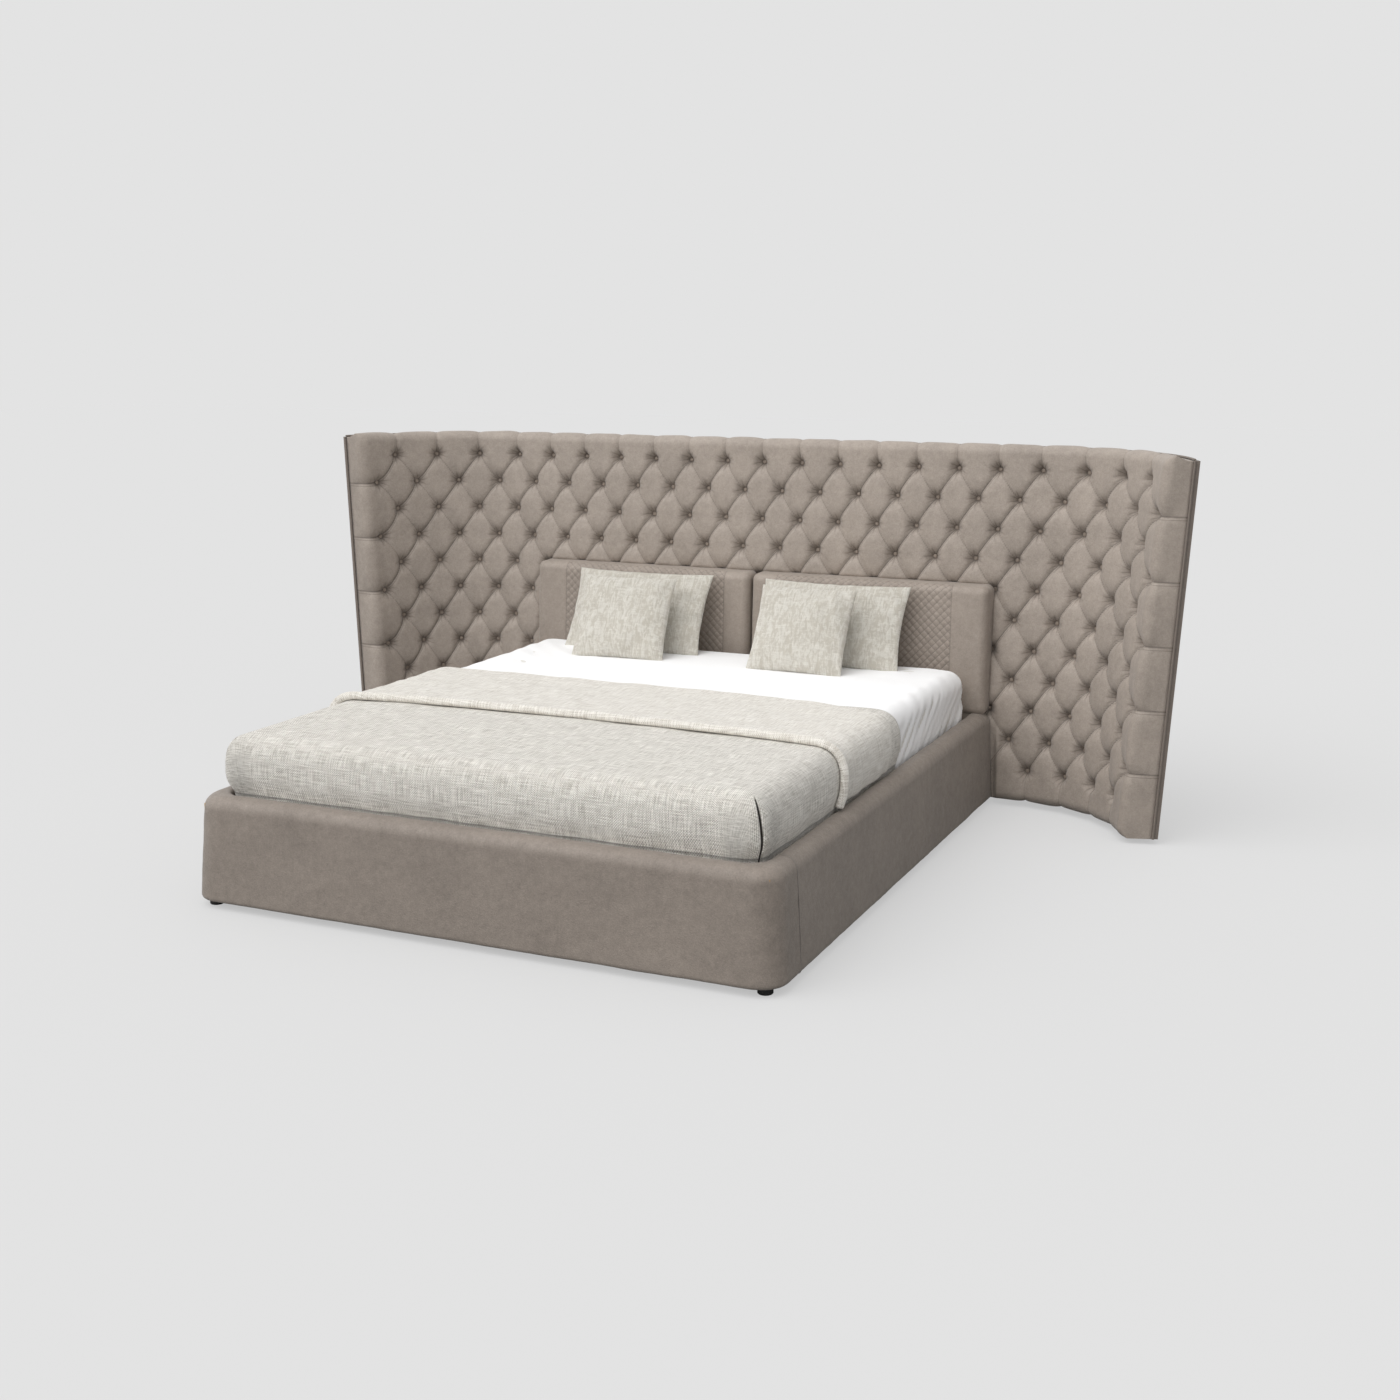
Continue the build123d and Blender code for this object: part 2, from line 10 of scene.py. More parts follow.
import bmesh
import bpy
import numpy as np
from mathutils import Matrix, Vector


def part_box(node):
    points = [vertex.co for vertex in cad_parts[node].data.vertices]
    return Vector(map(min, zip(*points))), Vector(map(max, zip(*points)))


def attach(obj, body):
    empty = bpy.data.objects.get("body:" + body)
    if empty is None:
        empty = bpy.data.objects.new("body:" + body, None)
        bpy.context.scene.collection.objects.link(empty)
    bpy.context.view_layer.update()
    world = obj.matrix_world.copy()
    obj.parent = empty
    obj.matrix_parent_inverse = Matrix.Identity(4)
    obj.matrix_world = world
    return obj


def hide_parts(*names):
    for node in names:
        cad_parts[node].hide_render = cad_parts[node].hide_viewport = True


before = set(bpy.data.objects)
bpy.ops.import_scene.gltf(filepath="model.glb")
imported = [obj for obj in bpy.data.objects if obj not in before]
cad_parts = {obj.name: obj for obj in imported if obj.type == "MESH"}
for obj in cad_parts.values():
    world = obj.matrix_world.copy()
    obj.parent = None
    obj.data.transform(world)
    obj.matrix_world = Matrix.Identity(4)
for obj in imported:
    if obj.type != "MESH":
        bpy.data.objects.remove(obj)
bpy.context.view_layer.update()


# %% [markdown]
# Everything is measured from a few faces of the frame, so the soft pieces land on it without fitting.
# The front face of the base gives the zero of all lengths along the bed.

# %% Faces of the frame that the soft pieces start from
def low_and_high(node):
    """The lowest and highest corners of a frame node, as plain arrays."""
    low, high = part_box(node)
    return np.array(low), np.array(high)


FOOT_LOW, FOOT_HIGH = low_and_high("base_pad_foot")
BASE_FRONT = FOOT_LOW[1]
BASE_HALF = FOOT_HIGH[0]
RIM_TOP = FOOT_HIGH[2]
BASE_BOTTOM = FOOT_LOW[2]
BASE_REAR = low_and_high("base_pad_left")[1][1]
SEAM_Y = FOOT_HIGH[1]
print("base: front", round(BASE_FRONT, 4), "half width", round(BASE_HALF, 4), "rim", round(RIM_TOP, 4))


# %% [markdown]
# Small helpers come first. A mesh is points plus faces, and both can be whole arrays, which is far quicker
# than adding faces one at a time.

# %% Make a mesh from arrays
def quads(rows, columns, close_rows=False, close_columns=False):
    """One quad for each cell of a grid. Closing joins the last row or column to the first."""
    index = np.arange(rows * columns).reshape(rows, columns)
    if close_rows:
        index = np.vstack([index, index[:1]])
    if close_columns:
        index = np.hstack([index, index[:, :1]])
    cells = [index[:-1, :-1], index[1:, :-1], index[1:, 1:], index[:-1, 1:]]
    return np.stack(cells, axis=-1).reshape(-1, 4)


def make_piece(name, points, faces, material, values=None):
    """Points are an array of places, and faces a list of arrays with one row of corner numbers each."""
    mesh = bpy.data.meshes.new(name)
    mesh.vertices.add(len(points))
    mesh.vertices.foreach_set("co", np.asarray(points, np.float32).ravel())
    corners = np.concatenate([group.ravel() for group in faces])
    sizes = np.concatenate([np.full(len(group), group.shape[1]) for group in faces])
    mesh.loops.add(len(corners))
    mesh.loops.foreach_set("vertex_index", corners.astype(np.int32))
    mesh.polygons.add(len(sizes))
    mesh.polygons.foreach_set("loop_start", np.concatenate([[0], np.cumsum(sizes)[:-1]]).astype(np.int32))
    mesh.update(calc_edges=True)
    for label, numbers in (values or {}).items():
        kind, field = ("FLOAT_VECTOR", "vector") if numbers.ndim == 2 else ("FLOAT", "value")
        layer = mesh.attributes.new(label, kind, "POINT")
        layer.data.foreach_set(field, np.asarray(numbers, np.float32).ravel())
    mesh.validate()
    mesh.shade_smooth()
    mesh.materials.append(material)
    piece = bpy.data.objects.new(name, mesh)
    bpy.context.scene.collection.objects.link(piece)
    print(name, len(mesh.vertices), "points", len(mesh.polygons), "faces")
    return piece


def tidy_shell(piece, merge=0.00002):
    """Merges points that lie on each other and turns every face outwards."""
    shell = bmesh.new()
    shell.from_mesh(piece.data)
    bmesh.ops.remove_doubles(shell, verts=shell.verts, dist=merge)
    bmesh.ops.recalc_face_normals(shell, faces=shell.faces)
    shell.to_mesh(piece.data)
    shell.free()


def thicken(piece, thickness):
    """Gives a sheet its thickness on the inner side, so its outer face stays where it is."""
    layer = piece.modifiers.new("thickness", "SOLIDIFY")
    layer.thickness = thickness
    layer.offset = -1.0


# %% [markdown]
# Real upholstery is never perfectly even. A few long sine waves in scattered directions, added together,
# make a gentle unevenness that is the same on every run because its random numbers have a fixed seed.

# %% Unevenness
def ripple(along, across, wavelength, seed, waves=9):
    """Sum of sine waves: wave k runs in its own direction with a wavelength from 0.6 to 1.6 times the given
    one, and the sum is divided by the square root of the number of waves, so it stays near -1 to 1."""
    draw = np.random.default_rng(seed)
    angle = draw.uniform(0, 2 * np.pi, waves)
    rate = 2 * np.pi / (wavelength * draw.uniform(0.6, 1.6, waves))
    phase = draw.uniform(0, 2 * np.pi, waves)
    travel = np.multiply.outer(along, np.cos(angle) * rate) + np.multiply.outer(across, np.sin(angle) * rate)
    return np.sin(travel + phase).sum(axis=-1) / math.sqrt(waves)


def smooth_step(value, start, end):
    """0 before start, 1 after end, and 3t^2 - 2t^3 between them."""
    t = np.clip((value - start) / (end - start), 0, 1)
    return t * t * (3 - 2 * t)


# %% [markdown]
# ## Light, floor and camera
# The bed stands in an even, pale studio, lit from all round by the sky and from above by one very wide
# lamp. The camera stands at the foot, to one side.

# %% Camera
CAMERA_PLACE = (2.6443, BASE_FRONT - 4.1813, 1.7867)
CAMERA_TURN = math.radians(24.15)
CAMERA_DIP = math.radians(8.80)
SENSOR_WIDTH = 36.0
LENS_LENGTH = 44.81
LENS_SHIFT = -0.0681
FAR_CLIP = 60.0


def set_camera():
    data = bpy.data.cameras.new("camera")
    data.sensor_width = SENSOR_WIDTH
    data.lens = LENS_LENGTH
    data.shift_y = LENS_SHIFT
    data.clip_end = FAR_CLIP
    camera = bpy.data.objects.new("camera", data)
    camera.location = CAMERA_PLACE
    camera.rotation_euler = (math.pi / 2 - CAMERA_DIP, 0.0, CAMERA_TURN)
    bpy.context.scene.collection.objects.link(camera)
    bpy.context.scene.camera = camera


set_camera()


# %% [markdown]
# Light and finishes are networks of nodes. A few helpers make a node, and feed each of its sockets either
# from another node or with a number.

# %% Node helpers
def feed(tree, socket, value):
    """Links the socket if the value comes out of another node, and otherwise sets its number."""
    if isinstance(value, bpy.types.NodeSocket):
        tree.links.new(value, socket)
    else:
        socket.default_value = value


def feed_all(tree, node, **inputs):
    """Feeds sockets by name, with _ for each space in the name."""
    for key, value in inputs.items():
        feed(tree, node.inputs[key.replace("_", " ")], value)


def add(tree, kind, settings=None, **inputs):
    """A node with its settings, and its inputs given as numbers or as links from other nodes."""
    made = tree.nodes.new(kind)
    for key, value in (settings or {}).items():
        setattr(made, key, value)
    feed_all(tree, made, **inputs)
    return made


def calc(tree, operation, first, second=0.0, third=0.0):
    made = add(tree, "ShaderNodeMath", {"operation": operation})
    for socket, value in zip(made.inputs, (first, second, third)):
        feed(tree, socket, value)
    return made.outputs[0]


def spread(tree, value, low, high, new_low=0.0, new_high=1.0):
    """Stretches the range low to high onto new_low to new_high, and holds it there."""
    made = add(tree, "ShaderNodeMapRange", Value=value, From_Min=low, From_Max=high, To_Min=new_low,
               To_Max=new_high)
    return made.outputs["Result"]


def mix(tree, factor, first, second):
    """A colour between two. Numbers 6 and 7 are the mix node's colour inputs and 2 its colour output."""
    made = add(tree, "ShaderNodeMix", {"data_type": "RGBA"})
    for number, value in ((0, factor), (6, first), (7, second)):
        feed(tree, made.inputs[number], value)
    return made.outputs[2]


def start_material(name):
    """A new material, its node tree and its shader."""
    material = bpy.data.materials.new(name)
    material.use_nodes = True
    return material, material.node_tree, material.node_tree.nodes["Principled BSDF"]


def object_place(tree):
    return add(tree, "ShaderNodeTexCoord").outputs["Object"]


# %% [markdown]
# The sky is a grey that the eye sees as one tone, while the light it gives leans to one side, as in a
# studio with a large window. A floor that glows a little to the eye meets the sky with no line between.

# %% Sky, lamp and floor
SKY_GREY = 0.768
SKY_EVEN = 0.645
SKY_LEAN = 0.34
BRIGHT_SIDE = (-0.56, -0.45, 0.69)
SUN_STRENGTH = 1.55
FLOOR_TONE = 0.25
FLOOR_GLOW = 0.470
FLOOR_HALF = 30.0


def seen_directly(tree):
    """1 for rays that come straight from the eye, and 0 for all others."""
    return add(tree, "ShaderNodeLightPath").outputs["Is Camera Ray"]


def set_sky():
    """Seen directly the sky is one grey. As light it is brighter towards the foot, the left and the top:
    an even share, plus a share times the cosine of the angle from the bright side."""
    world = bpy.data.worlds.new("studio")
    world.use_nodes = True
    tree = world.node_tree
    direction = add(tree, "ShaderNodeTexCoord").outputs["Generated"]
    cosine = add(tree, "ShaderNodeVectorMath", {"operation": "DOT_PRODUCT"})
    feed(tree, cosine.inputs[0], direction)
    feed(tree, cosine.inputs[1], BRIGHT_SIDE)
    leaning = calc(tree, "MULTIPLY_ADD", cosine.outputs["Value"], SKY_LEAN, SKY_EVEN)
    choose = add(tree, "ShaderNodeMix")
    for number, value in ((0, seen_directly(tree)), (2, leaning), (3, SKY_GREY)):
        feed(tree, choose.inputs[number], value)
    feed(tree, tree.nodes["Background"].inputs["Color"], choose.outputs[0])
    bpy.context.scene.world = world
    bpy.context.scene.view_settings.view_transform = "Standard"


def add_sun(name, strength, tilt, turn, width):
    """A lamp as wide as part of the sky: tilt is measured from straight down, turn about the vertical."""
    data = bpy.data.lights.new(name, "SUN")
    data.energy = strength
    data.angle = math.radians(width)
    lamp = bpy.data.objects.new(name, data)
    lamp.rotation_euler = (math.radians(tilt), 0.0, math.radians(turn))
    bpy.context.scene.collection.objects.link(lamp)


def add_floor():
    """A pale floor. The eye also sees a glow in it, so that it runs into the sky with no line between."""
    corners = np.array([(-1, -1, 0), (1, -1, 0), (1, 1, 0), (-1, 1, 0)]) * FLOOR_HALF
    material, tree, shader = start_material("studio_floor")
    glow = calc(tree, "MULTIPLY", seen_directly(tree), FLOOR_GLOW)
    feed_all(tree, shader, Base_Color=(FLOOR_TONE, FLOOR_TONE, FLOOR_TONE, 1.0), Roughness=0.9,
             Specular_IOR_Level=0.0, Emission_Color=(1.0, 1.0, 1.0, 1.0), Emission_Strength=glow)
    floor = make_piece("studio_floor", corners, [np.array([[0, 1, 2, 3]])], material)


set_sky()
add_sun("key", SUN_STRENGTH, tilt=38, turn=-30, width=60)
add_floor()


# %% [markdown]
# ## Finishes
# Effects that several finishes share are node groups with named inputs: the hide of the leather, the
# threads of cloth, and the grain of timber. Each material places the group with its own numbers.

# %% Groups of nodes
def start_group(name, inputs, outputs):
    """A shader node group with named sockets; each is (name, kind, starting value)."""
    tree = bpy.data.node_groups.new(name, "ShaderNodeTree")
    kinds = {"colour": "NodeSocketColor", "number": "NodeSocketFloat", "vector": "NodeSocketVector"}
    for label, kind, value in inputs:
        socket = tree.interface.new_socket(label, in_out="INPUT", socket_type=kinds[kind])
        if value is not None:
            socket.default_value = value
    for label, kind in outputs:
        tree.interface.new_socket(label, in_out="OUTPUT", socket_type=kinds[kind])
    return tree, tree.nodes.new("NodeGroupInput").outputs, tree.nodes.new("NodeGroupOutput").inputs


def noise(tree, place, scale, detail=2.0, roughness=0.5, distortion=0.0):
    made = add(tree, "ShaderNodeTexNoise", Vector=place, Scale=scale, Detail=detail, Roughness=roughness,
               Distortion=distortion)
    return made.outputs["Fac"]


# %% [markdown]
# Leather is cloudy at the size of a hand, mottled at the size of a coin, and grained at a millimetre or
# two. Where it is drawn into a fold or a seam, shade is painted in: the colour is mixed towards a
# deep tone.

# %% Group: hide
def hide_group():
    inputs = [("Place", "vector", None), ("Tone", "colour", (0.3, 0.25, 0.2, 1)),
              ("Deep Tone", "colour", (0.1, 0.08, 0.07, 1)), ("Shade", "number", 0.0),
              ("Cloud Contrast", "number", 0.2), ("Grain Size", "number", 420.0)]
    outputs = [("Color", "colour"), ("Roughness", "number"), ("Height", "number")]
    tree, given, result = start_group("hide", inputs, outputs)
    cloud = noise(tree, given["Place"], scale=5.0, detail=3.0, roughness=0.55, distortion=0.4)
    mottle = noise(tree, given["Place"], scale=42.0, detail=5.0, roughness=0.75)
    fleck = noise(tree, given["Place"], scale=190.0, detail=3.0, roughness=0.7)
    cloud, mottle, fleck = (spread(tree, each, 0.3, 0.7, -0.5, 0.5) for each in (cloud, mottle, fleck))
    pores = add(tree, "ShaderNodeTexVoronoi", {"feature": "SMOOTH_F1"}, Vector=given["Place"])
    tree.links.new(given["Grain Size"], pores.inputs["Scale"])
    pore = pores.outputs["Distance"]
    uneven = calc(tree, "ADD", calc(tree, "MULTIPLY", cloud, 0.55), calc(tree, "MULTIPLY", mottle, 0.9))
    uneven = calc(tree, "MULTIPLY_ADD", fleck, 0.8, uneven)
    uneven = calc(tree, "ADD", uneven, calc(tree, "MULTIPLY", calc(tree, "SUBTRACT", pore, 0.45), 0.5))
    gain = calc(tree, "MULTIPLY_ADD", uneven, given["Cloud Contrast"], 1.0)
    toned = add(tree, "ShaderNodeVectorMath", {"operation": "SCALE"})
    tree.links.new(given["Tone"], toned.inputs[0])
    tree.links.new(gain, toned.inputs["Scale"])
    # Painted shade: the colour is mixed towards the deep tone by the shade amount.
    colour = mix(tree, given["Shade"], toned.outputs[0], given["Deep Tone"])
    tree.links.new(colour, result["Color"])
    tree.links.new(spread(tree, uneven, -0.6, 0.6, 0.62, 0.48), result["Roughness"])
    wrinkle = noise(tree, given["Place"], scale=110.0, detail=3.0, roughness=0.6, distortion=1.2)
    height = calc(tree, "MULTIPLY_ADD", wrinkle, 0.55, calc(tree, "MULTIPLY", pore, 0.45))
    tree.links.new(height, result["Height"])
    return tree


HIDE = hide_group()


# %% Leather materials
def place_group(tree, group, **inputs):
    return add(tree, "ShaderNodeGroup", {"node_tree": group}, **inputs).outputs


def bump_into(tree, shader, height, depth):
    """A bump of the given depth in metres."""
    made = add(tree, "ShaderNodeBump", Height=height, Distance=depth, Strength=1.0)
    tree.links.new(made.outputs["Normal"], shader.inputs["Normal"])


def tone(colour):
    """sRGB numbers from 0 to 255 made into the linear colour that nodes use."""
    share = np.array(colour) / 255
    linear = np.where(share <= 0.04045, share / 12.92, ((share + 0.055) / 1.055) ** 2.4)
    return (*(float(c) for c in linear), 1.0)


# The leather is the same all over the bed, but its tones differ: the base's is painted darker and the
# headboard's lighter, as the shade and light that fall on them.
LEATHER_TONE = tone((161, 150, 140))
BASE_SHADED_TONE = tone((139, 129, 120))
HEADREST_TONE = tone((155, 144, 134))
BACK_TONE = tone((124, 114, 106))
BUTTON_TONE = tone((158, 144, 131))
LEATHER_PAINTED_SHADE = tone((34, 26, 22))


def leather_material(name, colour, contrast, shade=None):
    """Leather of one tone. Shade is a function that says how much shade is painted into its folds or seams,
    from 0 to 1.
    """
    material, tree, shader = start_material(name)
    place = object_place(tree)
    amount = 0.0 if shade is None else shade(tree, place)
    look = place_group(tree, HIDE, Place=place, Tone=colour, Deep_Tone=LEATHER_PAINTED_SHADE, Shade=amount,
                       Cloud_Contrast=contrast)
    feed_all(tree, shader, Base_Color=look["Color"], Roughness=look["Roughness"], Specular_IOR_Level=0.35,
             Sheen_Weight=0.15, Sheen_Roughness=0.5)
    bump_into(tree, shader, look["Height"], depth=0.0011)
    return material


def reading(tree, name):
    return add(tree, "ShaderNodeAttribute", {"attribute_name": name}).outputs["Fac"]


SPOKES = 9.0


def fold_shade(tree, place):
    """Painted shade, from 0 to 1: dark close to the buttons, in the recess round each, with short creases
    like spokes, a sine of the angle round the button to a power; a soft shade line in the falling pleats; and
    a crisp shade line with a fainter one beside it in the rising pleats, where the leather is tucked."""
    from_button = reading(tree, "from_button")
    # Painted shade in the recess round each button and in the creases like spokes.
    near_button = spread(tree, from_button, 0.005, 0.017, 1.0, 0.0)
    near_button = calc(tree, "MULTIPLY", near_button, 0.72)
    angle = calc(tree, "ARCTAN2", reading(tree, "button_up"), reading(tree, "button_across"))
    wander = calc(tree, "MULTIPLY", noise(tree, place, 14.0), 9.0)
    spokes = calc(tree, "SINE", calc(tree, "MULTIPLY_ADD", angle, SPOKES, wander))
    spokes = calc(tree, "POWER", calc(tree, "MAXIMUM", spokes, 0.0), 2.5)
    reach = spread(tree, from_button, 0.010, 0.046, 0.5, 0.0)
    near_button = calc(tree, "MAXIMUM", near_button, calc(tree, "MULTIPLY", spokes, reach))
    # Painted shade lines along the pleats and beside the tucks.
    falling = spread(tree, reading(tree, "from_falling"), 0.0005, 0.0035, 0.3, 0.0)
    side = reading(tree, "from_rising")
    rising = spread(tree, calc(tree, "ABSOLUTE", side), 0.0005, 0.0020, 0.5, 0.0)
    tuck = calc(tree, "ABSOLUTE", calc(tree, "SUBTRACT", side, 0.0065))
    tuck = spread(tree, tuck, 0.0005, 0.0016, 0.3, 0.0)
    lines = calc(tree, "MAXIMUM", calc(tree, "MAXIMUM", falling, rising), tuck)
    return calc(tree, "MAXIMUM", near_button, lines)


def seam_shade(tree, place):
    """Painted shade close to a seam or a stitch, where the leather sinks in. It needs no place, but
    leather_material calls all shades alike.
    """
    return spread(tree, reading(tree, "from_seam"), 0.0006, 0.0030, 0.44, 0.0)


buttoned_leather = leather_material("leather_buttoned", LEATHER_TONE, contrast=0.25, shade=fold_shade)
base_leather = leather_material("leather_base", BASE_SHADED_TONE, contrast=0.27, shade=seam_shade)
headrest_leather = leather_material("leather_headrest", HEADREST_TONE, contrast=0.22, shade=seam_shade)
back_leather = leather_material("leather_back", BACK_TONE, contrast=0.14)
plain_leather = leather_material("leather_plain", LEATHER_TONE, contrast=0.14)
button_leather = leather_material("leather_buttons", BUTTON_TONE, contrast=0.1)
button_leather.node_tree.nodes["Principled BSDF"].inputs["Coat Weight"].default_value = 0.4
print("leathers made")


# %% [markdown]
# Cloth is threads crossing at right angles. A warp and a weft, each a row of soft ridges, take turns at
# being on top. The group reads the cloth's own coordinates, so the threads run round the edges of the bed
# with the cloth. Slubs are long thin streaks along the threads.

# %% Group: weave
def weave_group():
    inputs = [("Cloth", "vector", None), ("Pitch", "number", 0.004), ("Light", "colour", (0.8, 0.8, 0.7, 1)),
              ("Dark", "colour", (0.5, 0.5, 0.4, 1)), ("Slub", "number", 0.5), ("Depth", "number", 0.5)]
    outputs = [("Color", "colour"), ("Height", "number")]
    tree, given, result = start_group("weave", inputs, outputs)
    part = add(tree, "ShaderNodeSeparateXYZ", Vector=given["Cloth"]).outputs
    turns = calc(tree, "DIVIDE", 2 * math.pi, given["Pitch"])
    warp = calc(tree, "SINE", calc(tree, "MULTIPLY", part["X"], turns))
    weft = calc(tree, "SINE", calc(tree, "MULTIPLY", part["Y"], turns))
    checker = calc(tree, "MULTIPLY", warp, weft)
    long_x = add(tree, "ShaderNodeMapping", Vector=given["Cloth"], Scale=(14.0, 260.0, 1.0)).outputs[0]
    long_y = add(tree, "ShaderNodeMapping", Vector=given["Cloth"], Scale=(260.0, 14.0, 1.0)).outputs[0]
    slub_x = noise(tree, long_x, 1.0, 2.0, 0.6)
    slub_y = noise(tree, long_y, 1.0, 2.0, 0.6)
    slubs = spread(tree, calc(tree, "ADD", slub_x, slub_y), 0.72, 1.28, -0.5, 0.5)
    # The gaps between the threads are painted darker, as the shade in them, stronger in some places than in
    # others.
    gaps = spread(tree, checker, -1.0, 1.0, -0.5, 0.5)
    wear_and_gap_shade = calc(tree, "MULTIPLY", gaps, spread(tree, noise(tree, given["Cloth"], 30.0), 0.3, 0.7, 0.2, 1.0))
    dark = calc(tree, "MULTIPLY_ADD", slubs, given["Slub"], calc(tree, "MULTIPLY", wear_and_gap_shade, given["Depth"]))
    dark = calc(tree, "ADD", dark, 0.42)
    dark.node.use_clamp = True
    tree.links.new(mix(tree, dark, given["Light"], given["Dark"]), result["Color"])
    tree.links.new(calc(tree, "MULTIPLY_ADD", slubs, -0.4, gaps), result["Height"])
    return tree


WEAVE = weave_group()


# %% Cloth materials
# The tone of the shade painted into slits and gaps of the cloth.
CLOTH_PAINTED_SHADE = tone((46, 40, 36))


def cloth_material(name, light, dark, pitch, slub, depth, bump, sheen=0.3, shaded_by=None):
    """Woven cloth that reads its own coordinates. Where the number it is shaded by is near zero, shade is
    painted in, dark as in a slit or a gap."""
    material, tree, shader = start_material(name)
    cloth = add(tree, "ShaderNodeAttribute", {"attribute_name": "cloth"}).outputs["Vector"]
    look = place_group(tree, WEAVE, Cloth=cloth, Pitch=pitch, Light=light, Dark=dark, Slub=slub,
                       Depth=depth)
    colour = look["Color"]
    if shaded_by:
        # Painted shade, dark close to the line.
        shade = spread(tree, reading(tree, shaded_by), 0.0020, 0.0036, 1.0, 0.0)
        colour = mix(tree, shade, colour, CLOTH_PAINTED_SHADE)
    feed_all(tree, shader, Base_Color=colour, Roughness=0.9, Specular_IOR_Level=0.15, Sheen_Weight=sheen)
    bump_into(tree, shader, look["Height"], bump)
    return material


coverlet_cloth = cloth_material("coverlet_weave", tone((253, 250, 243)), tone((152, 145, 133)), pitch=0.0078,
                                slub=0.8, depth=1.4, bump=0.0020, shaded_by="from_painted_shade")
band_cloth = cloth_material("turnback_weave", tone((246, 243, 236)), tone((190, 183, 172)), pitch=0.0066,
                            slub=1.0, depth=0.9, bump=0.0014)
sheet_cloth = cloth_material("sheet_cotton", tone((250, 250, 250)), tone((243, 243, 244)), pitch=0.0009,
                             slub=0.3, depth=0.3, bump=0.0001, sheen=0.1)
ticking_cloth = cloth_material("mattress_ticking", tone((236, 234, 228)), tone((214, 212, 208)), pitch=0.0016,
                               slub=0.3, depth=0.8, bump=0.0003)


# %% [markdown]
# The pillows are jacquard: patches of a lighter and a darker yarn with ragged edges, like bark. Two noises
# stretched along the two thread directions make the ragged patches, over a fine weave.

# %% Jacquard material
def jacquard_material():
    material, tree, shader = start_material("pillow_jacquard")
    cloth = add(tree, "ShaderNodeAttribute", {"attribute_name": "cloth"}).outputs["Vector"]
    upright = add(tree, "ShaderNodeMapping", Vector=cloth, Scale=(66.0, 20.0, 1.0)).outputs[0]
    level = add(tree, "ShaderNodeMapping", Vector=cloth, Scale=(26.0, 50.0, 1.0)).outputs[0]
    strokes = noise(tree, upright, 1.0, 5.0, 0.6, 1.4)
    dashes = noise(tree, level, 1.0, 5.0, 0.6, 1.4)
    ragged = calc(tree, "SUBTRACT", calc(tree, "MULTIPLY", strokes, 1.3), calc(tree, "MULTIPLY", dashes, 0.7))
    patch = spread(tree, ragged, 0.2, 0.4)
    light = mix(tree, patch, tone((246, 243, 234)), tone((216, 210, 197)))
    look = place_group(tree, WEAVE, Cloth=cloth, Pitch=0.0016, Light=light, Dark=tone((192, 186, 174)),
                       Slub=0.4, Depth=0.3)
    feed_all(tree, shader, Base_Color=look["Color"], Roughness=0.85, Specular_IOR_Level=0.2, Sheen_Weight=0.3)
    bump_into(tree, shader, calc(tree, "MULTIPLY_ADD", patch, -0.8, look["Height"]), depth=0.0008)
    return material


pillow_cloth = jacquard_material()
print("cloths made")


# %% [markdown]
# Timber shows long streaks along its fibres. The streaks are noise squeezed across the board, with finer
# dashes for the pores. Plywood, beech and birch differ only in tone and in which way the fibres run.

# %% Group: timber, and the hard finishes
def timber_group():
    inputs = [("Place", "vector", None), ("Light", "colour", (0.6, 0.45, 0.3, 1)),
              ("Dark", "colour", (0.4, 0.28, 0.16, 1))]
    tree, given, result = start_group("timber", inputs, [("Color", "colour"), ("Height", "number")])
    rings = noise(tree, given["Place"], 1.0, 4.0, 0.6, 0.8)
    pores = noise(tree, given["Place"], 6.0, 2.0, 0.7)
    streak = calc(tree, "MULTIPLY_ADD", pores, 0.35, calc(tree, "MULTIPLY", rings, 0.8))
    streak = spread(tree, streak, 0.35, 0.8)
    tree.links.new(mix(tree, streak, given["Light"], given["Dark"]), result["Color"])
    tree.links.new(pores, result["Height"])
    return tree


TIMBER = timber_group()


SOFTWOOD = (tone((205, 176, 132)), tone((160, 124, 82)))
BIRCH = (tone((226, 205, 164)), tone((196, 166, 118)))
PLYWOOD = (tone((212, 186, 146)), tone((176, 142, 100)))
WORN_TONE = tone((150, 146, 140))


def timber_material(name, light, dark, stretch):
    """The stretch squeezes the streaks across the fibres, so the smallest number is the fibres' way."""
    material, tree, shader = start_material(name)
    fibres = add(tree, "ShaderNodeMapping", Vector=object_place(tree), Scale=stretch).outputs[0]
    look = place_group(tree, TIMBER, Place=fibres, Light=light, Dark=dark)
    feed_all(tree, shader, Base_Color=look["Color"], Roughness=0.6)
    bump_into(tree, shader, look["Height"], depth=0.0002)
    return material


def hard_material(name, colour, low, high, metallic=0.0):
    """Moulded plastic or metal: one colour, with a polish that varies a little from place to place."""
    material, tree, shader = start_material(name)
    place = object_place(tree)
    cloud = noise(tree, place, 60.0, 3.0, 0.6)
    polish = spread(tree, cloud, 0.3, 0.7, low, high)
    wear_and_gap_shade = mix(tree, spread(tree, cloud, 0.55, 0.8, 0.0, 0.25), colour, WORN_TONE)
    feed_all(tree, shader, Base_Color=wear_and_gap_shade, Roughness=polish, Metallic=metallic)
    bump_into(tree, shader, noise(tree, place, 900.0), depth=0.00005)
    return material


frame_timber = timber_material("frame_timber", *SOFTWOOD, stretch=(60.0, 3.0, 60.0))
cross_timber = timber_material("cross_timber", *SOFTWOOD, stretch=(3.0, 60.0, 60.0))
birch = timber_material("slat_birch", *BIRCH, stretch=(3.0, 70.0, 70.0))
plywood = timber_material("plywood", *PLYWOOD, stretch=(40.0, 40.0, 2.5))
glide_plastic = hard_material("glide_plastic", tone((28, 27, 27)), 0.35, 0.55)
bolt_steel = hard_material("bolt_steel", tone((176, 176, 180)), 0.25, 0.45, metallic=1.0)
print("timbers and hard finishes made")


# %% [markdown]
# Every node of the frame gets a finish, hidden ones too. The soft nodes take the finish of the shape that
# will stand for them, so nothing shows if one peeps out.

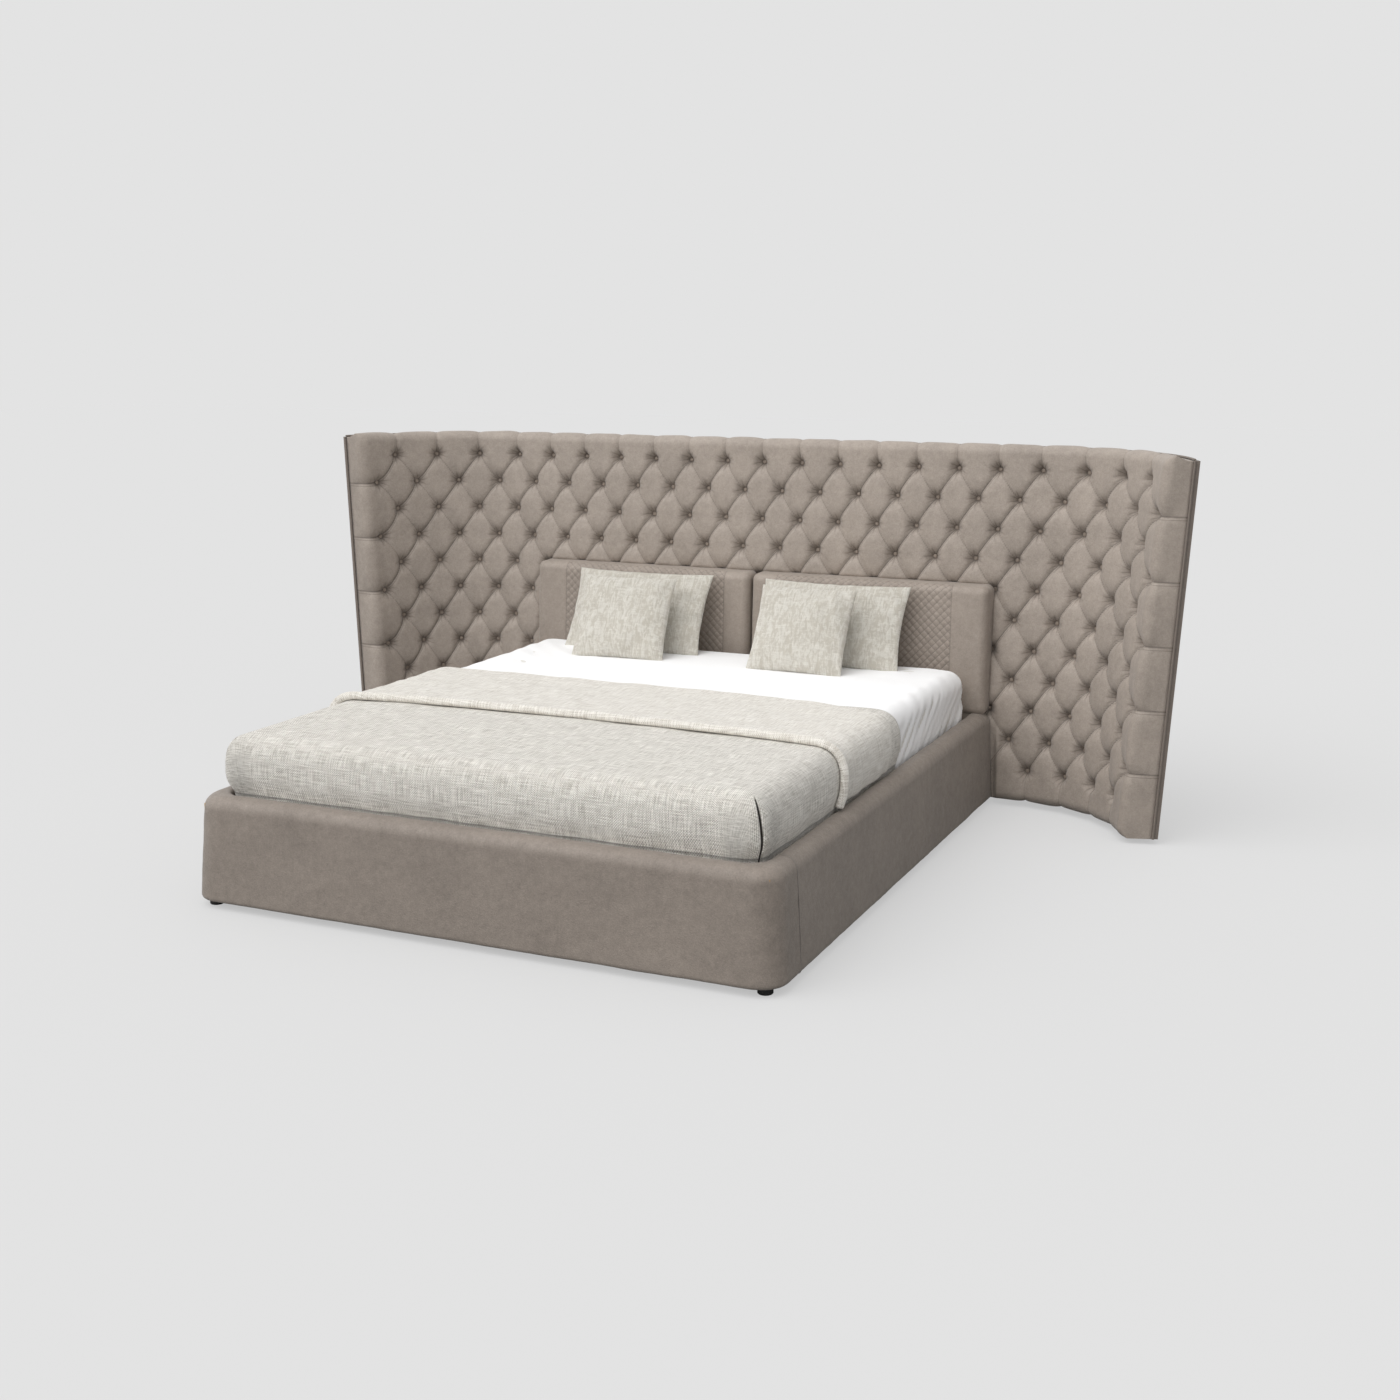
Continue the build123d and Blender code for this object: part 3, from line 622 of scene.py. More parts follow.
# %% Give every frame node its finish
NODE_FINISHES = {
    "base_foot": glide_plastic, "beam_leg": glide_plastic, "headboard_foot": glide_plastic,
    "slat_": birch, "slat_ledge": frame_timber, "side_rail": frame_timber, "centre_beam": frame_timber,
    "foot_rail": cross_timber, "head_rail": plain_leather, "corner_blocks": plywood,
    "headboard_frame": plywood, "headboard_board": plywood, "headboard_back_panel": back_leather,
    "headrest_core": plywood, "headrest_dowels": birch, "joining_bolts": bolt_steel,
    "joining_spacers": glide_plastic, "tuft_buttons": button_leather, "edge_piping": back_leather,
    "base_pad": base_leather, "headrest_pad": headrest_leather, "headboard_pad": buttoned_leather,
    "mattress": ticking_cloth, "fitted_sheet": sheet_cloth, "coverlet": coverlet_cloth,
    "coverlet_turnback": band_cloth, "pillow": pillow_cloth,
}


def finish_nodes():
    """A node takes the finish with the longest name that its own name starts with."""
    for name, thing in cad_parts.items():
        prefixes = [prefix for prefix in NODE_FINISHES if name.startswith(prefix)]
        thing.data.materials.clear()
        thing.data.materials.append(NODE_FINISHES[max(prefixes, key=len)])


finish_nodes()


# %% [markdown]
# ## A face with rolled edges
# The buttoned cover and the headrests are the same kind of thing: a broad soft face whose edges roll over
# and run straight back. Two lengths measured over the skin number its points. In the middle they are just
# the place on the face; past the start of the roll they turn through a quarter circle.

# %% Rolled face
def rolled(length, low, high, roll):
    """Where a length over the skin lies across the face, and how far the skin has turned there.
    Between the rolls the place is the length itself. Past them it is the roll's start plus roll times the
    sine of the turn, and the turn is the extra length divided by roll, up to a quarter turn."""
    turn = np.maximum(length - (high - roll), 0) / roll - np.maximum((low + roll) - length, 0) / roll
    turn = np.clip(turn, -np.pi / 2, np.pi / 2)
    return np.clip(length, low + roll, high - roll) + roll * np.sin(turn), turn


def rolled_face(lengths, heights, low, high, roll, full, relief=None):
    """A grid of (across, up, out). The skin lies full in front of the seat plane less the roll. Where the
    relief is less than full, it draws the skin in along its own normal. With none the skin is level."""
    across, up = np.meshgrid(lengths, heights)
    place_u, turn_u = rolled(across, low[0], high[0], roll)
    place_z, turn_z = rolled(up, low[1], high[1], roll)
    out = full - roll * (1 - np.cos(turn_u) * np.cos(turn_z))
    face = np.stack([place_u, place_z, out], axis=-1)
    if relief is None:
        return face
    normal = np.stack([np.sin(turn_u), np.sin(turn_z), np.cos(turn_u) * np.cos(turn_z)], axis=-1)
    normal /= np.linalg.norm(normal, axis=-1, keepdims=True)
    return face + normal * (relief(across, up) - full)[..., None]


def spaced(start, end, most):
    """Numbers from start to end, no further apart than most."""
    return np.linspace(start, end, int(math.ceil((end - start) / most)) + 1)


def joined(*runs):
    return np.unique(np.round(np.concatenate(runs), 7))


# %% [markdown]
# The rim of that face is carried straight back in a few rings and closed with a back. The back joins the
# bottom edge to the top edge, point by point, so no hole is left.

# %% Close a face into a shell
BACK_RINGS = 5


def rim_numbers(rows, columns):
    """The numbers of a grid's border points, in order round the grid."""
    index = np.arange(rows * columns).reshape(rows, columns)
    return np.concatenate([index[0, :-1], index[:-1, -1], index[-1, :0:-1], index[:0:-1, 0]])


def closed_shell(local, clean, back_out, rings):
    """Local points (across, up, out) for the face, the rings behind it, and the faces that close it. Clean
    is the same grid with no relief; the rings ease from the drawn-in edge to that straight one."""
    rows, columns = local.shape[:2]
    rim = rim_numbers(rows, columns)
    edge = local.reshape(-1, 3)[rim]
    straight = clean.reshape(-1, 3)[rim]
    target = np.column_stack([straight[:, :2], back_out(straight[:, 1])])
    shares = np.linspace(0, 1, rings + 1)[1:, None, None]
    eased = np.minimum(1.6 * shares, 1)
    behind = edge + (target - edge) * np.concatenate([eased, eased, shares], axis=-1)
    points = np.vstack([local.reshape(-1, 3), behind.reshape(-1, 3)])
    numbers = np.vstack([rim, rows * columns + np.arange(rings * len(rim)).reshape(rings, len(rim))])
    loop = np.hstack([numbers, numbers[:, :1]])
    sides = np.stack([loop[:-1, :-1], loop[1:, :-1], loop[1:, 1:], loop[:-1, 1:]], axis=-1).reshape(-1, 4)
    last = numbers[-1]
    bottom = last[:columns]
    top = last[columns + rows - 2:2 * columns + rows - 2][::-1]
    right = last[columns - 1:columns + rows - 1]
    left = np.concatenate([last[2 * columns + rows - 3:], last[:1]])
    back = np.stack([bottom[1:-2], bottom[2:-1], top[2:-1], top[1:-2]], axis=-1)
    fan_right = np.stack([np.full(rows - 1, bottom[-2]), right[:-1], right[1:]], axis=-1)
    fan_left = np.stack([np.full(rows - 1, bottom[1]), left[:-1], left[1:]], axis=-1)
    corners = np.array([[bottom[-2], top[-1], top[-2]], [bottom[1], top[1], top[0]]])
    return points, [sides, back, fan_right, fan_left, corners]


# %% [markdown]
# ## The buttoned cover of the headboard
# A deep-buttoned cover is leather drawn down to rows of buttons over thick foam. Pleats run between the
# buttons and the foam stands up in diamonds between the pleats. One way to make it is cloth pressed
# outwards while the buttons hold it. A formula is steadier: two families of slanting lines cross at the
# buttons, the height rises from each line as a rounded ridge, and the two heights are added.

# %% Sizes of the headboard
FLAT_HALF = low_and_high("headboard_pad_centre")[1][0]
TOP = low_and_high("headboard_pad_centre")[1][2]
BOTTOM = low_and_high("headboard_pad_centre")[0][2]
WING_RADIUS = 0.5236
WING_RUN = WING_RADIUS * math.radians(72.9)
SEAT_LEAN = 0.0857
BACK_LEAN = 0.0673
BACK_DEPTH = 0.074
PANEL_THICK = 0.018
BACK_RADIUS_TOP = WING_RADIUS + SEAT_LEAN * (TOP - RIM_TOP) + BACK_DEPTH
WING_CENTRE_Y = low_and_high("headboard_back_panel_centre")[1][1] - BACK_RADIUS_TOP
SPACING = 0.1618
ROW_PITCH = 0.1142
TOP_ROW = TOP - 0.080
LOW_ROW = TOP_ROW - 10 * ROW_PITCH
REACH = 10.5 * SPACING
HALF_LENGTH = FLAT_HALF + WING_RUN
print("headboard: length over the seats", round(2 * HALF_LENGTH, 3), "wing centre", round(WING_CENTRE_Y, 4))


# %% Place a point on the headboard
def seat_radius(z):
    return WING_RADIUS + SEAT_LEAN * (z - RIM_TOP)


def panel_face_out(z):
    """How far the back panel's front face lies in front of the button seats; it is behind, so negative."""
    back = BACK_RADIUS_TOP + BACK_LEAN * (z - TOP)
    return seat_radius(z) - (back - PANEL_THICK) + 0.0005


def on_headboard(across, up, out):
    """The flat middle runs along X. Past it the wall turns about an upright axis: the turn is the extra
    length over the wing radius, and the distance from that axis is the seat's radius less out."""
    turn = np.maximum(np.abs(across) - FLAT_HALF, 0) / WING_RADIUS
    radius = seat_radius(up) - out
    x = np.sign(across) * (np.minimum(np.abs(across), FLAT_HALF) + radius * np.sin(turn))
    return np.stack([x, WING_CENTRE_Y + radius * np.cos(turn), up], axis=-1)


# %% Height of the tufting
FULL = 0.046
RIDGE = 0.0355
FALLING_SHARPNESS = 0.85
RISING_SHARPNESS = 0.62
EDGE_PLEAT = 0.007
TOP_FADE = 0.022
END_FADE = 0.050
CREST_UP = 0.017
DIMPLE = 0.017
FOLDS = 7
FOLD_PLACE = 0.028
FOLD_REACH = 0.012
FOLD_RISE = 0.0013
UNEVEN = 0.0012
JUST_INSIDE = 0.00001


def lattice(across, up):
    """Numbers of the slanting lines through a point; both are whole numbers at a button."""
    lean = (up - TOP_ROW) / (2 * ROW_PITCH)
    return across / SPACING + lean, across / SPACING - lean


def inside_lattice(across, up):
    """The nearest point that lies between the outermost buttons."""
    return np.clip(across, -REACH + JUST_INSIDE, REACH - JUST_INSIDE), np.clip(up, LOW_ROW, TOP_ROW)


def nearest_button(across, up):
    first, second = (np.round(line) for line in lattice(*inside_lattice(across, up)))
    return SPACING * (first + second) / 2, TOP_ROW + ROW_PITCH * (first - second)


def ridge(line):
    """Zero at a whole number and one halfway: 4t(1 - t), where t is the part after the point."""
    part = line - np.floor(line)
    return 4 * part * (1 - part)


def tuft_relief(across, up):
    """The two ridges, each to the power of its sharpness, plus a share of their product. Beyond the
    outermost buttons the height at the nearest inside point is lifted with distance, so pleats run out to
    the edge and fade. Near a button it is pulled down by 1 - exp(-(distance / DIMPLE)^2), and low folds run
    out from it: a cosine of the angle, held to a ring round the button by a bell curve."""
    inside_u, inside_z = inside_lattice(across, up)
    falling, rising = (ridge(line) for line in lattice(inside_u, inside_z))
    height = RIDGE * (falling ** FALLING_SHARPNESS + rising ** RISING_SHARPNESS)
    height = height + (FULL - 2 * RIDGE) * falling * rising
    beyond = np.hypot((across - inside_u) / END_FADE, (up - inside_z) / TOP_FADE)
    lift = (FULL - EDGE_PLEAT) * (1 - np.exp(-beyond))
    height = height + lift * (1 - height / FULL)
    button_u, button_z = nearest_button(across, up)
    gap_u, gap_z = across - button_u, up - button_z
    gap = np.hypot(gap_u, gap_z)
    own_turn = np.sin(button_u * 91.7 + button_z * 37.1) * 43.0
    spokes = np.cos(FOLDS * np.arctan2(gap_z, gap_u) + own_turn)
    spokes = spokes * np.exp(-((gap - FOLD_PLACE) / FOLD_REACH) ** 2)
    height = height * (1 - np.exp(-(gap / DIMPLE) ** 2)) + FOLD_RISE * spokes
    height = height + UNEVEN * ripple(across, up, 0.16, 5) * (height / FULL)
    return np.minimum(height, FULL + 0.002)


# %% [markdown]
# Behind the headrests and behind the base there is less room, so the foam is pressed flat there. The same
# thing happens on the real bed when the parts are bolted together.

# %% Press the cover where something stands against it
HEADREST_BOX = low_and_high("headrest_pad_right")
PRESSED_OUT = 0.025
PRESS_SOFTNESS = 0.004


def pressed(local):
    """Limits out to PRESSED_OUT behind the headrests, and to the base's rear face below the rim."""
    across, up, out = (local[..., k] for k in range(3))
    side = np.abs(across)
    beside_rest = np.maximum(side - HEADREST_BOX[1][0], up - HEADREST_BOX[1][2])
    limit_rest = PRESSED_OUT + FULL * smooth_step(beside_rest, -0.014, 0.020)
    room = WING_CENTRE_Y + seat_radius(up) - BASE_REAR - 0.003
    beside_base = np.maximum(side - BASE_HALF, up - RIM_TOP)
    limit_base = room + 2 * FULL * smooth_step(beside_base, 0.002, 0.05)
    limit = np.minimum(limit_rest, limit_base)
    over = (out - limit) / PRESS_SOFTNESS
    squeezed = limit - PRESS_SOFTNESS * np.log1p(np.exp(-np.clip(over, -30, 30)))
    return np.stack([across, up, np.minimum(out, np.where(over > -8, squeezed, out))], axis=-1)


# %% Grid and distances of the buttoned cover
ROLL = 0.038
CREST = TOP + CREST_UP
CELLS = 16
LINES_LOST = 0.25


def cover_grid():
    """Lengths across and heights. Between the buttons each half diamond has CELLS steps, so that grid lines
    meet every pleat; past the outermost buttons the steps are about the same, round the roll too."""
    arc = ROLL * np.pi / 2
    end = HALF_LENGTH - ROLL
    between = np.arange(-21 * CELLS, 21 * CELLS + 1) * SPACING / 2 / CELLS
    past = joined(spaced(REACH, end, 0.006), spaced(end, end + arc, 0.007))
    rows = LOW_ROW + np.arange(0, 10 * CELLS + 1) * ROW_PITCH / CELLS
    above = joined(spaced(TOP_ROW, CREST - ROLL, 0.006), spaced(CREST - ROLL, CREST - ROLL + arc, 0.007))
    below = joined(spaced(BOTTOM + ROLL, LOW_ROW, 0.007), spaced(BOTTOM + ROLL - arc, BOTTOM + ROLL, 0.007))
    return joined(between, past, -past), joined(rows, above, below)


def distances(across, up):
    """How far each point lies from its button, from the falling pleats and from the rising ones. The last
    is signed, so the finish can paint the shade of a tuck on one side of the pleat only. Above and below the
    outermost rows the lines are lost a little way out. The way from the button is given across and up as
    well."""
    button_u, button_z = nearest_button(across, up)
    gap = 1 / math.hypot(1 / SPACING, 1 / (2 * ROW_PITCH))
    falling, rising = ((line - np.round(line)) * gap for line in lattice(*inside_lattice(across, up)))
    lost = LINES_LOST * np.maximum(np.maximum(up - TOP_ROW, LOW_ROW - up) - 0.012, 0)
    return {"from_button": np.hypot(across - button_u, up - button_z), "from_falling": np.abs(falling) + lost,
            "from_rising": rising + np.where(rising < 0, -lost, lost), "button_across": across - button_u,
            "button_up": up - button_z}


# %% Build the buttoned cover
def pleated_faces(lengths, heights):
    """Triangles. Each square of the grid is split along the pleat that crosses it, so pleats stay sharp."""
    cells = quads(len(heights), len(lengths))
    middle_u = (lengths[:-1] + lengths[1:]) / 2
    middle_z = (heights[:-1] + heights[1:]) / 2
    blocks = np.floor(middle_u[None, :] / (SPACING / 2)) + np.floor((middle_z[:, None] - TOP_ROW) / ROW_PITCH)
    rising = (blocks.astype(int) % 2 == 1).ravel()
    return [np.vstack([cells[rising][:, [0, 1, 2]], cells[rising][:, [0, 2, 3]]]),
            np.vstack([cells[~rising][:, [0, 1, 3]], cells[~rising][:, [1, 2, 3]]])]


def tufted_cover():
    lengths, heights = cover_grid()
    low, high = (-HALF_LENGTH, BOTTOM), (HALF_LENGTH, CREST)
    local = pressed(rolled_face(lengths, heights, low, high, ROLL, FULL, tuft_relief))
    clean = rolled_face(lengths, heights, low, high, ROLL, FULL)
    clean[..., 1] = np.minimum(clean[..., 1], TOP)
    points, closing = closed_shell(local, clean, panel_face_out, BACK_RINGS)
    rows, columns = local.shape[:2]
    across, up = np.meshgrid(lengths, heights)
    rim = rim_numbers(rows, columns)
    values = {name: np.concatenate([far.ravel(), np.tile(far.ravel()[rim], BACK_RINGS)])
              for name, far in distances(across, up).items()}
    places = on_headboard(points[:, 0], points[:, 1], points[:, 2])
    faces = pleated_faces(lengths, heights) + closing
    cover = make_piece("tufted_cover", places, faces, buttoned_leather, values)
    tidy_shell(cover)
    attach(cover, "bed")
    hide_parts("headboard_pad_centre", "headboard_pad_left", "headboard_pad_right")


tufted_cover()


# %% [markdown]
# ## Rounded rings
# The base, the mattress, the sheet and the coverlet all run round a rectangle with rounded corners. One
# function makes those rectangles for any number of insets at once. A ring that is pushed in as far as it
# can go has shrunk to a line down the middle, so the same rings also fill a flat top.

# %% Rings round a rectangle
LEAST_BEND = 0.012


def rings(inset, box, radius, steps, open_rear=False):
    """One row of points (x, y) for each inset. The rectangle is pushed in by the inset. Its corners have
    the radius less the inset, but not under LEAST_BEND, and are cosine and sine of the turn. Straight runs
    join them. An open ring starts at the right rear, goes round the foot and ends at the left rear."""
    half, front, rear = box
    side, bend, across = steps
    inset = np.asarray(inset, float)[:, None]
    curve = np.minimum(np.maximum(radius - inset, LEAST_BEND), half - inset)
    corners = [(1, 0, 0), (-1, 0, -90)] if open_rear else [(1, 0, 0), (-1, 0, -90), (-1, 1, 180), (1, 1, 90)]
    arcs = []
    for sign, at_rear, start in corners:
        turn = np.radians(np.linspace(start, start - 90, bend))[None, :]
        middle_x = sign * (half - inset - curve)
        middle_y = rear - inset - curve if at_rear else front + inset + curve
        arcs.append(np.stack([middle_x + curve * np.cos(turn), middle_y + curve * np.sin(turn)], axis=-1))
    if open_rear:
        start = np.stack([half - inset, np.full(inset.shape, rear)], axis=-1)
        stops = [start] + arcs + [start * np.array([-1, 1])]
        counts = [side, across, side]
    else:
        stops = arcs + [arcs[0]]
        counts = [across, side, across, side]
    runs = []
    for here, there, count in zip(stops[:-1], stops[1:], counts):
        share = np.linspace(0, 1, count)[None, 1:-1, None]
        runs += [here, here[:, -1:] + (there[:, :1] - here[:, -1:]) * share]
    if open_rear:
        runs.append(stops[-1])
    return np.concatenate(runs, axis=1)


# %% [markdown]
# ## The padded base
# The base is a box rail under a layer of foam and leather. The leather comes over a wide soft shoulder,
# across the rim and down into the well for the mattress. Its section is a line with rounded corners, and
# the pad is that section carried along the rail. The foot pad wraps both corners and meets the side pads
# at a seam.

# %% A line with rounded corners
def rounded_line(corners, radii, step):
    """Each corner is replaced by an arc that touches both its sides, then the closed line is divided
    evenly. The arc's ends are the radius over the tangent of half the corner's angle from the corner."""
    corners = np.array(corners, float)
    line = []
    for here, before, after, radius in zip(corners, np.roll(corners, 1, 0), np.roll(corners, -1, 0), radii):
        back = (before - here) / np.linalg.norm(before - here)
        on = (after - here) / np.linalg.norm(after - here)
        half_angle = math.acos(np.clip(back @ on, -1, 1)) / 2
        away = radius / math.tan(half_angle)
        middle = here + (back + on) / np.linalg.norm(back + on) * radius / math.sin(half_angle)
        share = np.linspace(0, 1, 9)[:, None]
        chord = (here + back * away) * (1 - share) + (here + on * away) * share - middle
        line.append(middle + chord / np.linalg.norm(chord, axis=1, keepdims=True) * radius)
    line = np.vstack(line + [line[0][:1]])
    length = np.concatenate([[0], np.cumsum(np.linalg.norm(np.diff(line, axis=0), axis=1))])
    even = np.linspace(0, length[-1], int(length[-1] / step) + 1)[:-1]
    return np.column_stack([np.interp(even, length, line[:, k]) for k in range(2)])


def line_normals(line):
    """Unit vectors square to a closed line: its run, from the point before to the point after, turned."""
    run = np.roll(line, -1, 0) - np.roll(line, 1, 0)
    run /= np.linalg.norm(run, axis=1, keepdims=True)
    return np.column_stack([run[:, 1], -run[:, 0]])


# %% Section of the base pads
RIM_WIDTH = 0.081
DRAFT = math.tan(math.radians(3.0)) * (RIM_TOP - BASE_BOTTOM)
FLAP_LOW = 0.287
RAIL_OUT = 0.0405
RAIL_IN = 0.0695
RAIL_TOP = 0.3305
PAD_TOP = RIM_TOP + 0.0006
PAD_LOW = BASE_BOTTOM - 0.007
PAD_CORNERS = [(RAIL_OUT, PAD_LOW), (0.0, PAD_LOW), (DRAFT, PAD_TOP), (RIM_WIDTH, PAD_TOP),
               (RIM_WIDTH, FLAP_LOW), (RAIL_IN, FLAP_LOW), (RAIL_IN, RAIL_TOP), (RAIL_OUT, RAIL_TOP)]
PAD_RADII = [0.001, 0.012, 0.042, 0.012, 0.003, 0.001, 0.001, 0.001]
SECTION_STEP = 0.005
PAD_SECTION = rounded_line(PAD_CORNERS, PAD_RADII, SECTION_STEP)
PAD_NORMALS = line_normals(PAD_SECTION)
OUTSIDE = ((PAD_SECTION[:, 0] < RAIL_OUT - 0.003) | (PAD_SECTION[:, 1] > RAIL_TOP + 0.004)
           | (PAD_SECTION[:, 0] > RIM_WIDTH - 0.002))
print("pad section:", len(PAD_SECTION), "points")


# %% Carry the section along the rail
SEAM_PINCH = 0.0016
SEAM_REACH = 0.003
SEAM_GAP = 0.0004
OUTER_BEND = 0.088
INNER_BEND = 0.070


def base_pad(name, outer, inner, seam_ends, seed, *nodes):
    """Outer and inner are matching paths at the pad's outer face and at the well. A section point lies
    between them by its inset over the rim's width, at its own height. Relief moves it along the section's
    normal: slow waves, and a pinch where the pad ends in a seam."""
    along = np.concatenate([[0], np.cumsum(np.linalg.norm(np.diff(outer, axis=0), axis=1))])
    round_section = np.arange(len(PAD_SECTION)) * SECTION_STEP
    s, t = np.meshgrid(along, round_section)
    ends = [s if end == "start" else along[-1] - s for end in seam_ends]
    from_seam = np.minimum.reduce(ends)
    relief = 0.0005 * ripple(s, t, 0.30, seed) + 0.0003 * ripple(s, t, 0.07, seed + 1)
    relief = relief - SEAM_PINCH * np.exp(-from_seam / SEAM_REACH)
    relief = relief * OUTSIDE[:, None]
    inset = PAD_SECTION[:, :1] + PAD_NORMALS[:, :1] * relief
    height = PAD_SECTION[:, 1:] + PAD_NORMALS[:, 1:] * relief
    share = (inset / RIM_WIDTH)[..., None]
    plan = outer[None] * (1 - share) + inner[None] * share
    points = np.concatenate([plan, height[..., None]], axis=-1)
    rows, columns = points.shape[:2]
    caps = np.arange(rows) * columns
    faces = [quads(rows, columns, close_rows=True), caps[None, :], (caps + columns - 1)[None, ::-1]]
    values = {"from_seam": from_seam.ravel()}
    pad = make_piece(name, points.reshape(-1, 3), faces, base_leather, values)
    tidy_shell(pad)
    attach(pad, "bed")
    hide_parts(*nodes)


def foot_paths():
    steps = (22, 26, 150)
    outer_box = (BASE_HALF, BASE_FRONT, SEAM_Y - SEAM_GAP)
    inner_box = (BASE_HALF - RIM_WIDTH, BASE_FRONT + RIM_WIDTH, SEAM_Y - SEAM_GAP)
    outer = rings([0.0], outer_box, OUTER_BEND, steps, open_rear=True)
    inner = rings([0.0], inner_box, INNER_BEND, steps, open_rear=True)
    return outer[0], inner[0]


def side_paths(sign):
    y = np.concatenate([SEAM_Y + np.linspace(SEAM_GAP, 0.02, 8), spaced(SEAM_Y + 0.03, BASE_REAR, 0.014)])
    outer = np.column_stack([np.full(len(y), sign * BASE_HALF), y])
    inner = np.column_stack([np.full(len(y), sign * (BASE_HALF - RIM_WIDTH)), y])
    return outer, inner


base_pad("foot_pad_cover", *foot_paths(), ("start", "end"), 11, "base_pad_foot")
base_pad("right_pad_cover", *side_paths(1), ("start",), 21, "base_pad_right")
base_pad("left_pad_cover", *side_paths(-1), ("start",), 31, "base_pad_left")


# %% [markdown]
# ## The quilted headrests
# Each headrest is a padded board that leans back a little. Its middle panel is quilted: stitches run in
# two slanting directions and the leather rises between them in small diamonds. Beside the quilting the
# leather is plain, and a stitched seam parts the two.

# %% Height of the quilting
QUILT = 0.031
QUILT_RISE = 0.0044
QUILT_FROM = 0.112
QUILT_TO = 0.832
REST_ROLL = 0.033
REST_FRONT_Y = low_and_high("headrest_pad_right")[0][1]
REST_LEAN = math.tan(math.radians(2.6))
REST_DEPTH = 0.074
SEAM_SLOPE = 0.006
GROOVE = 0.0022
GROOVE_REACH = 0.003


def from_panel_seams(across):
    return np.minimum(np.abs(across - QUILT_FROM), np.abs(across - QUILT_TO))


def quilt_relief(across, up):
    """The rise times the product of the two ridges to a small power, only between the panel's seams, and
    a narrow groove, a bell curve of the distance, along each seam."""
    first, second = ridge((across + up) / QUILT), ridge((across - up) / QUILT)
    inside = smooth_step(across, QUILT_FROM, QUILT_FROM + SEAM_SLOPE)
    inside = inside * smooth_step(-across, -QUILT_TO, -QUILT_TO + SEAM_SLOPE)
    plain_rise = QUILT_RISE * 0.75
    rise = plain_rise + inside * (QUILT_RISE * (first * second) ** 0.42 - plain_rise)
    slow = 0.0008 * ripple(across, up, 0.2, 41)
    return rise - GROOVE * np.exp(-(from_panel_seams(across) / GROOVE_REACH) ** 2) + slow * (1 - inside)


# %% Build the headrests
REST_CORNER = 0.030
REST_SINK = 0.010
FAR_OFF = 0.1


def round_corners(local, low, high, radius):
    """Draws a rectangle's square corners in to quarter circles. Each coordinate's share of the way into a
    corner is multiplied by the root of one less half the other share's square."""
    middle = (np.array(low) + high) / 2
    half = (np.array(high) - low) / 2
    away = local[..., :2] - middle
    share = np.clip((np.abs(away) - (half - radius)) / radius, 0, 1)
    drawn = share * np.sqrt(1 - share[..., ::-1] ** 2 / 2)
    moved = away + np.sign(away) * radius * (drawn - share)
    return np.concatenate([middle + moved, local[..., 2:]], axis=-1)


def rolled_lengths(low, high, step):
    """Lengths over the skin from one side to the other, with a quarter roll at each end."""
    arc = REST_ROLL * np.pi / 2
    start, end = low + REST_ROLL, high - REST_ROLL
    return joined(spaced(start - arc, start, 0.005), spaced(start, end, step), spaced(end, end + arc, 0.005))


def back_out(z):
    """How far the headrest's back lies in front of its face. It leans with the headboard behind it."""
    return QUILT_RISE - REST_DEPTH - (SEAT_LEAN - REST_LEAN) * (z - RIM_TOP)


def from_stitches(across, up):
    """The distance to the nearest panel seam, or inside the panel to the nearest quilting line."""
    lines = [np.abs(line - np.round(line)) * QUILT / math.sqrt(2)
             for line in ((across + up) / QUILT, (across - up) / QUILT)]
    outside = (across < QUILT_FROM) | (across > QUILT_TO)
    return np.minimum(from_panel_seams(across), np.where(outside, FAR_OFF, np.minimum(*lines) + 0.0006))


def headrest(sign, side):
    low, high = low_and_high(f"headrest_pad_{side}")
    low = low - (0, 0, REST_SINK)
    near, far = sorted((abs(low[0]), abs(high[0])))
    lengths = rolled_lengths(near, far, QUILT / 8)
    heights = rolled_lengths(low[2], high[2], QUILT / 8)
    corners = (near, low[2]), (far, high[2])
    local, clean = (round_corners(rolled_face(lengths, heights, *corners, REST_ROLL, QUILT_RISE, relief),
                                  *corners, REST_CORNER) for relief in (quilt_relief, None))
    points, closing = closed_shell(local, clean, back_out, BACK_RINGS)
    front = REST_FRONT_Y + REST_LEAN * (points[:, 1] - RIM_TOP)
    places = np.column_stack([sign * points[:, 0], front + QUILT_RISE - points[:, 2], points[:, 1]])
    rows, columns = local.shape[:2]
    stitch = from_stitches(*np.meshgrid(lengths, heights)).ravel()
    values = {"from_seam": np.concatenate([stitch, np.full(len(points) - len(stitch), FAR_OFF)])}
    rest = make_piece(f"headrest_{side}", places, [quads(rows, columns)] + closing, headrest_leather, values)
    tidy_shell(rest)
    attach(rest, "bed")
    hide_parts(f"headrest_pad_{side}")


for sign, side in ((-1, "left"), (1, "right")):
    headrest(sign, side)


# %% [markdown]
# ## Mattress and fitted sheet
# The mattress is a closed block with soft edges, and the sheet is pulled over it and tucked under. The
# rings make both: their sections say how far in each ring lies and how high. The sheet creases where it is
# pulled over the edge near the head.

# %% Mattress
MATTRESS_RADIUS = 0.070
EDGE = 0.058
LINE_HALF = 0.0005
LINE_MERGE = 0.0012


def plan_box(low, high):
    """Half the width, the foot end and the head end, which is what rings() asks for."""
    return high[0], low[1], high[1]


def slab_section(box, low, high, edge):
    """Insets and heights from the middle of the top, over a rounded edge and down to the bottom."""
    flat = np.linspace(box[0] - LINE_HALF, edge, 26)
    turn = np.linspace(0, np.pi / 2, 12)[1:]
    down = np.linspace(high - edge, low, 16)[1:]
    inset = np.concatenate([flat, edge * (1 - np.sin(turn)), np.zeros(len(down))])
    return inset, np.concatenate([np.full(len(flat), high), high - edge * (1 - np.cos(turn)), down])


